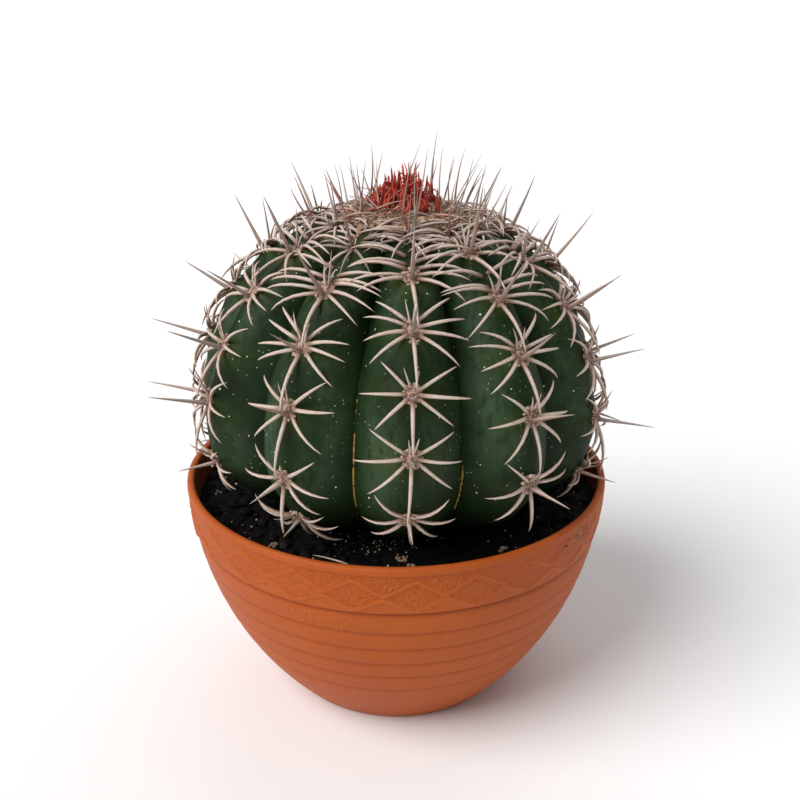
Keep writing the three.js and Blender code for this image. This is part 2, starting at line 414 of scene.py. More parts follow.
class SharedEffects:
    """Node groups that several finishes use. Each takes a place and a few numbers, and gives one value."""

    def __init__(self) -> None:
        """Builds each group once."""
        self.specks = self._make("scattered_specks", self._specks, Scale=200.0, Size=0.1, Share=0.5)
        self.mottle = self._make("soft_mottle", self._mottle, Scale=40.0, Low=0.4, High=0.65)
        self.grain = self._make("fine_grain", self._grain, Scale=800.0, Fine=0.4)

    @staticmethod
    def _make(name: str, fill: Callable[..., Socket], **inputs: float) -> bpy.types.NodeTree:
        """Makes one group.

        Args:
            name: The group's name.
            fill: Adds its nodes, given the bench and what comes in, and returns what goes out.
            inputs: Name and usual value of each number that comes in, after Place.

        Returns:
            The group.
        """
        tree = bpy.data.node_groups.new(name, "ShaderNodeTree")
        tree.interface.new_socket("Place", in_out="INPUT", socket_type="NodeSocketVector")
        for label, usual in inputs.items():
            socket = tree.interface.new_socket(label, in_out="INPUT", socket_type="NodeSocketFloat")
            socket.default_value = usual
        tree.interface.new_socket("Value", in_out="OUTPUT", socket_type="NodeSocketFloat")
        bench = NodeBench(tree)
        given = bench.add("NodeGroupInput").outputs
        bench.add("NodeGroupOutput", {"Value": fill(bench, given)})
        return tree

    @staticmethod
    def _specks(bench: NodeBench, given: bpy.types.NodeOutputs) -> Socket:
        """Scatters dots of mixed sizes.

        Args:
            bench: Adds the nodes.
            given: What comes in.

        Returns:
            1 on a dot, which only a share of the cells has, and 0 elsewhere.
        """
        cells = bench.add("ShaderNodeTexVoronoi", {"Vector": given["Place"], "Scale": given["Scale"]}).outputs
        chance = bench.add("ShaderNodeSeparateColor", {"Color": cells["Color"]}).outputs
        reach = bench.times(given["Size"], bench.spread(chance["Green"], 0.8, 0.45))
        inside = bench.work_out(Sum.SUBTRACT, 1.0, bench.work_out(Sum.DIVIDE, cells["Distance"], reach))
        kept = bench.work_out(Sum.LESS_THAN, chance["Red"], given["Share"])
        return bench.times(kept, bench.ramp(inside, 0.0, 0.35))

    @staticmethod
    def _mottle(bench: NodeBench, given: bpy.types.NodeOutputs) -> Socket:
        """Returns large soft patches: 0 where the noise is low and 1 where it is high."""
        return bench.ramp(bench.noise(given["Place"], given["Scale"], 5.0, 0.6), given["Low"], given["High"])

    @staticmethod
    def _grain(bench: NodeBench, given: bpy.types.NodeOutputs) -> Socket:
        """Lays coarse and fine noise together.

        Args:
            bench: Adds the nodes.
            given: What comes in.

        Returns:
            The height of the grain.
        """
        coarse = bench.noise(given["Place"], given["Scale"], 2.0, 0.5)
        fine = bench.noise(given["Place"], bench.times(given["Scale"], 3.1), 2.0, 0.5)
        return bench.spread(fine, given["Fine"], coarse)


class Brush(NodeBench):
    """Builds a finish from patterns that are read at the place on the piece."""

    def __init__(self, tree: bpy.types.NodeTree, effects: SharedEffects) -> None:
        """Gets ready to build one material.

        Args:
            tree: The material's node tree.
            effects: The shared node groups.
        """
        super().__init__(tree)
        self.effects = effects
        self.place = self.add("ShaderNodeTexCoord").outputs["Object"]

    def value_of(self, name: str) -> Socket:
        """Returns a number that the mesh keeps for each of its points."""
        return self.add("ShaderNodeAttribute", attribute_name=name).outputs["Fac"]

    def pattern(self, group: bpy.types.NodeTree, **inputs: Socket | float) -> Socket:
        """Returns what a shared effect gives for its named numbers."""
        return self.add("ShaderNodeGroup", {"Place": self.place, **inputs}, node_tree=group).outputs["Value"]

    def mottle(self, scale: float, low: float, high: float) -> Socket:
        """Returns soft patches, from 0 where the noise is low to 1 where it is high."""
        return self.pattern(self.effects.mottle, Scale=scale, Low=low, High=high)

    def specks(self, scale: float, size: float, share: Socket | float) -> Socket:
        """Returns scattered dots of a size, in a share of the places."""
        return self.pattern(self.effects.specks, Scale=scale, Size=size, Share=share)

    def grain(self, scale: float, fine: float) -> Socket:
        """Returns the height of a grain with a share of finer grain."""
        return self.pattern(self.effects.grain, Scale=scale, Fine=fine)

    def paint(self, under: Colour, *layers: tuple[Socket, float, Colour]) -> Socket:
        """Lays colours over one another.

        Args:
            under: The lowest colour.
            layers: The mask, the strength from 0 to 1 and the colour of each layer, lowest first.

        Returns:
            The mixed colour.
        """
        colour = (*under, 1.0)
        for mask, strength, over in layers:
            if strength < 1:
                mask = self.times(mask, strength)
            inputs = {"Factor": mask, 6: colour, 7: (*over, 1.0)}
            colour = self.add("ShaderNodeMix", inputs, data_type="RGBA").outputs[2]
        return colour


@dataclass(frozen=True)
class Finish:
    """What every finish has: a name, its gloss, and a surface made of nodes."""

    name: str
    specular: float
    bump_mm: float

    def make(self, effects: SharedEffects) -> bpy.types.Material:
        """Builds the material.

        Args:
            effects: The shared node groups.

        Returns:
            The material.
        """
        material = bpy.data.materials.new(self.name)
        material.use_nodes = True
        material.node_tree.nodes.clear()
        brush = Brush(material.node_tree, effects)
        colour, roughness, height = self.surface(brush)
        bump = brush.add("ShaderNodeBump", {"Height": height, "Distance": self.bump_mm * MM})
        inputs = {"Base Color": colour, "Roughness": roughness, "Normal": bump.outputs["Normal"]}
        shader = brush.add("ShaderNodeBsdfPrincipled", inputs | {"Specular IOR Level": self.specular})
        brush.add("ShaderNodeOutputMaterial", {"Surface": shader.outputs["BSDF"]})
        return material

    def surface(self, brush: Brush) -> Surface:
        """Returns the colour, the roughness and the bump height. Each finish has its own."""
        raise NotImplementedError


@dataclass(frozen=True)
class TerracottaFinish(Finish):
    """Matt terracotta-coloured pot with faint clouds, a painted highlight on the ridges, painted shade in the
    grooves and a little spilt soil.
    """

    name: str = "terracotta_pot"
    specular: float = 0.24
    bump_mm: float = 0.34
    clay: Colour = (0.415, 0.078, 0.0075)
    pale: Colour = (0.51, 0.118, 0.019)
    deep: Colour = (0.26, 0.040, 0.004)
    dirt: Colour = (0.075, 0.026, 0.009)

    def surface(self, brush: Brush) -> Surface:
        """Lays out the finish.

        Args:
            brush: Makes its patterns.

        Returns:
            The colour, the roughness and the bump height.
        """
        cloud, relief = brush.mottle(22.0, 0.35, 0.7), brush.value_of("relief")
        smudge = brush.spread(brush.value_of("smudge"), 0.2, brush.noise(brush.place, 620.0, 4.0, 0.7))
        colour = brush.paint(
            self.clay,
            (cloud, 0.45, self.pale),
            (brush.mottle(420.0, 0.45, 0.75), 0.18, self.deep),
            # Painted highlight: the raised ridges are painted paler, as if lit along their tops.
            (brush.ramp(relief, 0.25, 0.8), 0.75, self.pale),
            (brush.specks(170.0, 0.05, 0.22), 1.0, self.dirt),
            # Painted shade: the grooves and steps are painted darker, as shade in the recesses.
            (brush.ramp(relief, -0.08, -0.6), 0.8, self.deep),
            (brush.ramp(smudge, 0.715, 0.76), 1.0, self.dirt),
        )
        cells = brush.add("ShaderNodeTexVoronoi", {"Vector": brush.place, "Scale": 900.0}).outputs["Distance"]
        pits = brush.times(brush.times(cells, 2.2), brush.value_of("stipple"))
        return colour, brush.spread(cloud, 0.12, 0.5), brush.spread(brush.grain(1500.0, 0.6), 0.5, pits)


@dataclass(frozen=True)
class SoilFinish(Finish):
    """Nearly black potting mix with faint brown and grey fibres and crumbs."""

    name: str = "potting_mix"
    specular: float = 0.12
    bump_mm: float = 1.2
    black: Colour = (0.0022, 0.0019, 0.0018)
    brown: Colour = (0.0095, 0.0062, 0.0042)
    grey: Colour = (0.05, 0.048, 0.047)

    def surface(self, brush: Brush) -> Surface:
        """Lays out the finish.

        Args:
            brush: Makes its patterns.

        Returns:
            The colour, the roughness and the bump height.
        """
        colour = brush.paint(
            self.black,
            (brush.mottle(160.0, 0.5, 0.72), 1.0, self.brown),
            (brush.specks(900.0, 0.30, 0.10), 0.6, self.grey),
            (brush.ramp(brush.value_of("tint"), 0.7, 1.6), 1.0, self.grey),
        )
        return colour, brush.spread(brush.noise(brush.place, 300.0), 0.3, 0.6), brush.grain(420.0, 0.5)


@dataclass(frozen=True)
class CrumbFinish(Finish):
    """Pale grains on the soil: grit, bark and bits of fibre, brown to cream."""

    name: str = "soil_grit"
    specular: float = 0.3
    bump_mm: float = 0.25
    brown: Colour = (0.14, 0.07, 0.035)
    cream: Colour = (0.62, 0.52, 0.40)

    def surface(self, brush: Brush) -> Surface:
        """Lays out the finish.

        Args:
            brush: Makes its patterns.

        Returns:
            The colour, the roughness and the bump height.
        """
        dark = brush.mottle(900.0, 0.4, 0.7)
        colour = brush.paint(self.brown, (brush.value_of("tint"), 1.0, self.cream), (dark, 0.5, self.brown))
        rough = brush.work_out(Sum.ADD, brush.noise(brush.place, 600.0), 0.35)
        return colour, rough, brush.grain(1400.0, 0.5)


@dataclass(frozen=True)
class SkinFinish(Finish):
    """Waxy dark green skin: bloom on the flanks, partly a painted sheen, pale specks, corky lines, a browned
    shoulder, and painted shade in the grooves and towards the bottom.
    """

    name: str = "cactus_skin"
    specular: float = 0.13
    bump_mm: float = 0.14
    dark: Colour = (0.0058, 0.0150, 0.0042)
    green: Colour = (0.0145, 0.0385, 0.0078)
    bloom: Colour = (0.0490, 0.0840, 0.0430)
    lime: Colour = (0.0600, 0.0760, 0.0090)
    speck: Colour = (0.62, 0.62, 0.46)
    cork: Colour = (0.46, 0.26, 0.05)
    brown: Colour = (0.10, 0.06, 0.022)

    def surface(self, brush: Brush) -> Surface:
        """Lays out the finish.

        Args:
            brush: Makes its patterns.

        Returns:
            The colour, the roughness and the bump height.
        """
        across = brush.value_of("across")
        level = brush.add("ShaderNodeSeparateXYZ", {"Vector": brush.place}).outputs["Z"]
        # Bloom mask: partly the skin's own waxy bloom in random patches, partly a painted sheen from the
        # listed patches on the lit left flanks.
        bloom_and_sheen_mask = brush.most(brush.times(brush.mottle(33.0, 0.38, 0.66), 0.8), brush.value_of("bloom_and_sheen"))
        bloom_and_sheen_mask = brush.times(bloom_and_sheen_mask, brush.ramp(level, 0.078, 0.118))
        flank = brush.times(brush.ramp(across, 0.0, 0.3), brush.ramp(across, 1.0, 0.55))
        drawn_out = brush.add("ShaderNodeMapping", {"Vector": brush.place, "Scale": (1.0, 1.0, 0.45)})
        streaks = brush.ramp(brush.noise(drawn_out.outputs["Vector"], 420.0, 3.0, 0.6), 0.22, 0.6)
        tired = brush.mottle(75.0, 0.4, 0.75)
        yellowed = brush.times(brush.value_of("yellowed"), brush.work_out(Sum.ADD, tired, 0.25))
        # Painted shade: the bottoms of the grooves are painted darker.
        painted_groove_shade = brush.times(brush.ramp(across, 0.9, 1.0), 0.65)
        # Painted shade: the skin is painted darker towards the bottom, from 135 mm down to 85 mm.
        painted_bottom_shade = brush.times(brush.ramp(level, 0.135, 0.085), 0.8)
        sown = brush.spread(brush.mottle(62.0, 0.38, 0.62), 0.5, 0.12)
        small = brush.times(brush.specks(560.0, 0.15, sown), 0.5)
        spots = brush.most(brush.specks(290.0, 0.115, sown), small)
        spots = brush.most(spots, brush.times(brush.specks(800.0, 0.4, 0.7), brush.value_of("dusty")))
        corky = brush.times(brush.value_of("cork"), brush.noise(brush.place, 900.0, 3.0, 0.7))
        corky = brush.ramp(corky, 0.30, 0.44)
        colour = brush.paint(
            self.dark,
            (brush.mottle(48.0, 0.34, 0.66), 1.0, self.green),
            (brush.mottle(210.0, 0.35, 0.7), 0.5, self.dark),
            # Partly the bloom's own colour and partly a painted sheen on the flanks.
            (brush.times(brush.times(bloom_and_sheen_mask, flank), streaks), 0.9, self.bloom),
            (yellowed, 1.0, self.lime),
            (brush.times(brush.value_of("browned"), tired), 1.0, self.brown),
            # Painted shade in the grooves and towards the bottom.
            (brush.most(painted_groove_shade, painted_bottom_shade), 1.0, self.dark),
            (spots, 1.0, self.speck),
            (corky, 1.0, self.cork),
        )
        rough = brush.spread(brush.noise(brush.place, 120.0), 0.22, 0.44)
        marks = brush.work_out(Sum.ADD, spots, corky)
        height = brush.spread(brush.grain(620.0, 0.35), 0.4, marks)
        return colour, brush.most(rough, brush.times(corky, 0.85)), height


@dataclass(frozen=True)
class SpineFinish(Finish):
    """Horn-like spines: pink-brown at the foot, cream on top and pink-tan at the sides, partly their own
    colour and partly painted light on top and painted shade on the sides, greyer and browner towards the tip.
    """

    name: str = "spine"
    specular: float = 0.35
    bump_mm: float = 0.14
    foot: Colour = (0.20, 0.095, 0.066)
    side: Colour = (0.33, 0.205, 0.158)
    top: Colour = (0.60, 0.485, 0.405)
    tip: Colour = (0.36, 0.27, 0.22)
    old: Colour = (0.23, 0.19, 0.175)
    young: Colour = (0.50, 0.085, 0.045)

    def surface(self, brush: Brush) -> Surface:
        """Lays out the finish.

        Args:
            brush: Makes its patterns.

        Returns:
            The colour, the roughness and the bump height.
        """
        along, fleck = brush.value_of("along"), brush.mottle(700.0, 0.4, 0.75)
        colour = brush.paint(
            self.side,
            # Partly painted light: each spine's top, away from the skin, is painted paler, and its sides and
            # underside darker as painted shade.
            (brush.ramp(brush.value_of("topside"), -0.2, 0.75), 1.0, self.top),
            (fleck, 0.4, self.side),
            (brush.ramp(along, 0.27, 0.04), 0.8, self.foot),
            (brush.ramp(along, 0.86, 1.0), 0.6, self.tip),
            (brush.ramp(brush.value_of("tint"), 0.45, 1.0), 0.9, self.old),
            (brush.value_of("young"), 1.0, self.young),
        )
        return colour, brush.spread(fleck, 0.2, 0.48), brush.noise(brush.place, 1300.0, 3.0, 0.5)


@dataclass(frozen=True)
class FeltFinish(Finish):
    """Areole felt and the swollen feet of the spines: pinkish tan with dark brown patches."""

    name: str = "areole_felt"
    specular: float = 0.15
    bump_mm: float = 0.3
    tan: Colour = (0.40, 0.25, 0.18)
    pale: Colour = (0.60, 0.46, 0.36)
    brown: Colour = (0.11, 0.05, 0.032)

    def surface(self, brush: Brush) -> Surface:
        """Lays out the finish.

        Args:
            brush: Makes its patterns.

        Returns:
            The colour, the roughness and the bump height.
        """
        dark = brush.mottle(620.0, 0.5, 0.66)
        colour = brush.paint(self.tan, (brush.value_of("tint"), 1.0, self.pale), (dark, 0.85, self.brown))
        return colour, brush.spread(dark, 0.1, 0.8), brush.grain(1800.0, 0.5)


@dataclass(frozen=True)
class WoolFinish(Finish):
    """Matted crown wool, cream with brown roots."""

    name: str = "crown_wool"
    specular: float = 0.1
    bump_mm: float = 0.6
    cream: Colour = (0.64, 0.43, 0.29)
    brown: Colour = (0.15, 0.072, 0.036)

    def surface(self, brush: Brush) -> Surface:
        """Lays out the finish.

        Args:
            brush: Makes its patterns.

        Returns:
            The colour, the roughness and the bump height.
        """
        patch, pale = brush.mottle(260.0, 0.38, 0.62), brush.ramp(brush.value_of("tint"), 0.6, 1.0)
        colour = brush.paint(self.brown, (patch, 1.0, self.cream), (pale, 1.0, self.cream))
        return colour, brush.spread(patch, 0.08, 0.86), brush.grain(900.0, 0.7)


@dataclass(frozen=True)
class BristleFinish(Finish):
    """Red bristles: nearly black red at the root, crimson, then orange red."""

    name: str = "red_bristle"
    specular: float = 0.4
    bump_mm: float = 0.1
    root: Colour = (0.035, 0.006, 0.005)
    crimson: Colour = (0.29, 0.016, 0.008)
    orange: Colour = (0.56, 0.070, 0.030)

    def surface(self, brush: Brush) -> Surface:
        """Lays out the finish.

        Args:
            brush: Makes its patterns.

        Returns:
            The colour, the roughness and the bump height.
        """
        along = brush.value_of("along")
        bright = brush.times(brush.ramp(along, 0.3, 0.9), brush.value_of("tint"))
        grown = brush.ramp(along, 0.0, 0.35)
        colour = brush.paint(self.root, (grown, 1.0, self.crimson), (bright, 1.0, self.orange))
        rough = brush.spread(brush.noise(brush.place, 900.0), 0.25, 0.35)
        return colour, rough, brush.noise(brush.place, 2200.0, 2.0)


@dataclass(frozen=True)
class FloorFinish(Finish):
    """Plain pale floor with the faintest unevenness."""

    name: str = "pale_floor"
    specular: float = 0.2
    bump_mm: float = 0.05
    pale: Colour = (0.93, 0.93, 0.93)
    grey: Colour = (0.92, 0.92, 0.92)

    def surface(self, brush: Brush) -> Surface:
        """Lays out the finish.

        Args:
            brush: Makes its patterns.

        Returns:
            The colour, the roughness and the bump height.
        """
        patch = brush.mottle(3.0, 0.3, 0.7)
        colour = brush.paint(self.pale, (patch, 1.0, self.grey))
        return colour, brush.spread(patch, 0.05, 0.8), brush.noise(brush.place, 200.0, 2.0)


class Finishes:
    """Every material of the scene, built once."""

    def __init__(self) -> None:
        """Builds the materials."""
        effects = SharedEffects()
        self.clay = TerracottaFinish().make(effects)
        self.soil = SoilFinish().make(effects)
        self.crumb = CrumbFinish().make(effects)
        self.skin = SkinFinish().make(effects)
        self.spine = SpineFinish().make(effects)
        self.felt = FeltFinish().make(effects)
        self.wool = WoolFinish().make(effects)
        self.bristle = BristleFinish().make(effects)
        self.floor = FloorFinish().make(effects)


# ---- Pot ----


@dataclass
class BowlPot:
    """The moulded bowl: rolled lip, border of stippled triangles, stepped bands, foot and drain hole.

    Attributes:
        bulge: The point that the wall's curve leans towards.
        first_apex: Azimuth of one upper peak of the border.
        upper_zigzag: Levels of the peaks and the troughs, and the shift as a share of one triangle.
        edge_fade: Levels over which the border's relief comes in and goes out.
        smudges: Where spilt soil sticks to the outside.
    """

    height: float = 90.0
    rim_radius: float = 82.5
    foot_radius: float = 44.0
    bulge: Point = (80.0, 38.0)
    wall: float = 3.0
    lip_height: float = 3.2
    lip_overhang: float = 0.75
    floor_top: float = 5.0
    foot_recess: float = 2.0
    foot_ring: float = 5.0
    drain_radius: float = 7.0
    steps: int = 720
    border_top: float = 86.4
    border_bottom: float = 71.6
    triangles: int = 24
    first_apex: float = math.radians(-10.2)
    upper_zigzag: tuple[float, float, float] = (84.9, 78.6, 0.0)
    lower_zigzag: tuple[float, float, float] = (77.4, 72.2, 0.5)
    zigzag_slope: float = 0.72
    edge_fade: tuple[float, float, float, float] = (71.4, 72.2, 87.0, 86.0)
    groove_levels: tuple[float, ...] = (70.9, 61.7, 53.7, 45.6, 37.7, 28.9)
    groove_close: tuple[float, ...] = (1.0, 0.35, 0.0, -0.25, -0.6, -1.1, -1.9, -3.0)
    groove_depth: float = 0.7
    ridge_height: float = 0.85
    ridge_width: float = 0.5
    grain_size: float = 1.7
    grain_height: float = 0.55
    smudges: tuple[Patch, ...] = (Patch(55, 13, 84.5, 7.0), Patch(34, 8, 19, 5, 0.8))

    @staticmethod
    def curve(start: Point, pull: Point, end: Point, level: np.ndarray) -> np.ndarray:
        """Returns the radius of a bowed wall at each level.

        Args:
            start: Where the wall starts.
            pull: The point that the wall leans towards.
            end: Where the wall ends.
            level: Heights to read.

        Returns:
            The radii.
        """
        part = np.linspace(0, 1, 400)
        weights = ((1 - part) ** 2, 2 * part * (1 - part), part**2)
        drawn = list(zip(weights, (start, pull, end), strict=True))
        radius, height = (sum(weight * point[i] for weight, point in drawn) for i in (0, 1))
        return np.interp(level, height, radius)

    def outer(self, level: np.ndarray) -> np.ndarray:
        """Returns the outer wall's radius at each level, without the lip's overhang."""
        end = (self.rim_radius - self.lip_overhang * 0.4, self.height - self.wall / 2)
        return self.curve((self.foot_radius, 0), self.bulge, end, level)

    def inner(self, level: np.ndarray) -> np.ndarray:
        """Works out the inner wall.

        Args:
            level: Heights to read.

        Returns:
            Its radius at each of them.
        """
        start = (self.foot_radius - self.wall / 2, self.floor_top)
        pull = (self.bulge[0] - self.wall, self.bulge[1] + self.wall)
        return self.curve(start, pull, (self.rim_radius - self.wall, self.height - self.wall / 2), level)

    def levels(self) -> list[float]:
        """Lists the outer wall's levels: close in the border and at each groove, wider elsewhere.

        Returns:
            The levels, lowest first.
        """
        close = [*np.arange(self.border_bottom, self.border_top + 0.01, 0.58), *np.arange(0.9, 27.0, 2.1)]
        close += [level + lift for level in self.groove_levels for lift in self.groove_close]
        kept: list[float] = []
        for level in sorted(close):
            if kept and level - kept[-1] > 2.4:
                kept.append((kept[-1] + level) / 2)
            if not kept or level - kept[-1] > 0.2:
                kept.append(float(level))
        return kept

    def profile(self) -> list[Point]:
        """Draws the closed profile, from the drain hole round the foot, the wall, the lip and back.

        Returns:
            Its points.
        """
        def rows(radii: np.ndarray, levels: np.ndarray) -> list[Point]:
            """Pairs radii with levels."""
            return list(zip(radii.tolist(), levels.tolist(), strict=True))

        ring, foot = self.foot_radius - self.foot_ring, self.foot_radius
        outside = np.array(self.levels())
        inside = np.concatenate([np.linspace(86, 74, 7), np.linspace(70, self.floor_top + 0.5, 8)])
        return [
            (self.drain_radius, self.foot_recess),
            *((float(r), self.foot_recess) for r in np.linspace(12, ring - self.foot_recess, 6)),
            *((ring - 0.3, 0.35), (ring + 0.6, 0.0), (foot - 0.6, 0.0), (foot, 0.35)),
            *rows(self.outer(outside), outside),
            *self.lip(),
            *rows(self.inner(inside), inside),
            *((float(r), self.floor_top) for r in np.linspace(ring - 1, self.drain_radius, 6)),
            (self.drain_radius, self.foot_recess),
        ]

    def lip(self) -> list[Point]:
        """Draws the rolled lip, from under its outer edge over the top to the inside.

        Returns:
            Its points.
        """
        low, half = self.height - self.lip_height, self.wall / 2
        wall, middle = float(self.outer(np.array([low]))[0]), self.rim_radius - half
        under = [(wall + self.lip_overhang * 0.1, low), (wall + self.lip_overhang * 0.55, low + 0.25)]
        arc = np.radians(np.linspace(0, 180, 9))
        over = [(middle + half * math.cos(a), self.height - half + half * math.sin(a)) for a in arc]
        return [*under, (self.rim_radius - 0.12, low + 0.8), *over]

    def zigzag(self, azimuth: np.ndarray, high: float, low: float, shift: float) -> np.ndarray:
        """Returns the level of a zigzag line round the border.

        Args:
            azimuth: Where to read it.
            high: Level of its peaks.
            low: Level of its troughs.
            shift: Moves the peaks round, as a share of one triangle.

        Returns:
            The levels.
        """
        turn = (azimuth - self.first_apex) / TURN * self.triangles + shift
        return high - (high - low) * np.abs(turn - np.round(turn)) * 2

    def relief(self, points: np.ndarray) -> tuple[np.ndarray, np.ndarray]:
        """Works out the moulded pattern.

        Args:
            points: Points of the outer wall.

        Returns:
            How far the pattern stands out at each point, and how stippled it is from 0 to 1.
        """
        azimuth, level = azimuth_of(points), points[:, 2]
        upper, lower = self.zigzag(azimuth, *self.upper_zigzag), self.zigzag(azimuth, *self.lower_zigzag)
        off_lines = ((level - line) * self.zigzag_slope for line in (upper, lower))
        ridges = np.maximum(*(bump_at(off, 0, self.ridge_width) for off in off_lines))
        start, full, end, whole = self.edge_fade
        inside = smooth_step(start, full, level) * smooth_step(end, whole, level)
        gaps = (level - upper, upper - level, level - lower)
        above, under, over = (smooth_step(0.7, 1.6, gap) for gap in gaps)
        stipple = np.maximum(above, under * over) * inside
        below = smooth_step(70.0, 68.8, level) * smooth_step(60.9, 62.5, level)
        patches = smooth_step(0.02, 0.22, noise_at(points * [1, 1, 2.2], 26.0, 3.0))
        worn = 0.62 + 0.38 * noise_at(points, 45.0, 9.0)
        stipple = np.maximum(stipple, below * patches * 0.8) * np.clip(worn, 0.25, 1)
        height = self.ridge_height * ridges * inside * np.clip(worn + 0.15, 0.4, 1)
        height += self.grain_height * stipple * (0.5 - cell_noise_at(points, self.grain_size))
        for groove in self.groove_levels:
            drop, strength = groove - level, 1.0 if groove == self.groove_levels[0] else 0.62
            cut = np.where(drop > -0.05, np.exp(-np.clip(drop, 0, 40) / 1.5), bump_at(drop, 0, 0.3))
            height -= self.groove_depth * strength * cut
        return height, stipple

    def build(self, finishes: Finishes) -> Piece:
        """Models the pot and puts it on the frame.

        Args:
            finishes: The scene's materials.

        Returns:
            The pot.
        """
        pot = spin_profile("pot_shell", self.profile(), self.steps)
        points = read_points(pot)
        radius, level = np.hypot(points[:, 0], points[:, 1]), points[:, 2]
        wall = (radius > self.outer(level) - 0.9) & (level > 0.8) & (level < self.border_top)
        height, stipple = np.zeros(len(points)), np.zeros(len(points))
        height[wall], stipple[wall] = self.relief(points[wall])
        turn = np.degrees(azimuth_of(points))
        smudge = np.clip(sum(patch.at(turn, level) for patch in self.smudges), 0, 1)
        smudge[radius <= self.rim_radius * 0.5] = 0
        dress(pot, [finishes.clay], {"relief": height, "stipple": stipple, "smudge": smudge})
        points[:, :2] *= (1 + height / np.maximum(radius, 1))[:, None]
        write_points(pot, points)
        return place_piece(pot, Slot.POT, "bowl_pot")


# ---- Plant ----


@dataclass(frozen=True)
class Spot:
    """A place on the plant with its own directions.

    Attributes:
        place: The point on the crest.
        outward: Straight out of the skin.
        down: Down along the rib.
        step: How many areoles it is above the first one on its rib.
    """

    place: np.ndarray
    outward: np.ndarray
    down: np.ndarray
    step: float = 0.0

    @property
    def side(self) -> np.ndarray:
        """Returns the direction across the rib."""
        return np.cross(self.outward, self.down)


@dataclass(frozen=True)
class PlantShape:
    """The outline of the ribbed body and where its areoles are.

    Attributes:
        shoulder: Power of the cosine that draws the crest in towards the top.
        groove_share: Depth of a groove as a share of the radius, with crown_share more near the crown.
        crest_rounding: How blunt a crest is, as a share of the rib's half width.
        crown_from: Latitudes over which the grooves grow deeper and steeper.
        stagger: Each rib's areoles sit this many steps above its left neighbour's.
    """

    crest_radius: float = 76.9
    widest_level: float = 117.6
    upper_height: float = 74.2
    lower_height: float = 43.6
    shoulder: float = 0.915
    groove_share: float = 0.15
    crown_share: float = 0.15
    crest_rounding: float = 0.13
    crown_from: Point = (math.radians(14), math.radians(48))
    areoles_up: int = 5
    lowest_step: float = -1.5
    first_latitude: float = math.radians(7.75)
    upper_spacing: float = math.radians(16.1)
    lower_spacing: float = math.radians(25.4)
    stagger: float = 5 / 11

    def crest(self, latitude: np.ndarray | float) -> tuple[np.ndarray, np.ndarray]:
        """Works out the crest.

        Args:
            latitude: Latitudes to read.

        Returns:
            The crest's radius and height at each of them.
        """
        rise = np.where(np.asarray(latitude) > 0, self.upper_height, self.lower_height)
        radius = self.crest_radius * np.clip(np.cos(latitude), 0, 1) ** self.shoulder
        return radius, self.widest_level + rise * np.sin(latitude)

    def groove_depth(self, across: np.ndarray, latitude: np.ndarray) -> np.ndarray:
        """Works out how far the flank has fallen from the crest.

        Args:
            across: Place on the rib, from 0 on its crest to 1 in a groove.
            latitude: Latitudes to read.

        Returns:
            The fall, as a share of the radius.
        """
        blunt = self.crest_rounding
        straight = (np.hypot(across, blunt) - blunt) / (math.hypot(1, blunt) - blunt)
        upper = smooth_step(*self.crown_from, latitude)
        shape = (0.6 - 0.35 * upper) * straight + (0.4 + 0.35 * upper) * across ** (2.3 + 0.9 * upper)
        return (self.groove_share + self.crown_share * upper) * shape

    def steps_on(self, rib: int) -> list[float]:
        """Lists the areole steps of a rib.

        Args:
            rib: The rib's number, from 0 at the front.

        Returns:
            The steps, lowest first, with one more that lies in the crown.
        """
        offset = (rib * self.stagger) % 1
        lowest = math.ceil(self.lowest_step - offset) + offset
        return [lowest + i for i in range(self.areoles_up + 1)]

    def spot(self, rib: int, step: float) -> Spot:
        """Finds the place and directions on a rib's crest.

        Args:
            rib: The rib's number, from 0 at the front.
            step: How many areoles above the first one.

        Returns:
            The spot.
        """
        latitude = self.first_latitude + step * (self.upper_spacing if step > 0 else self.lower_spacing)
        away = around(FIRST_RIB + rib * RIB_STEP, 1.0)
        radius, level = (float(v) for v in self.crest(latitude))
        above, below = self.crest(latitude + 0.01), self.crest(latitude - 0.01)
        slope = np.array([float(below[0] - above[0]), float(below[1] - above[1])])
        slope /= np.linalg.norm(slope)
        outward, down = away * -slope[1] + UP * slope[0], away * slope[0] + UP * slope[1]
        return Spot(away * radius + UP * level, outward, down, step)


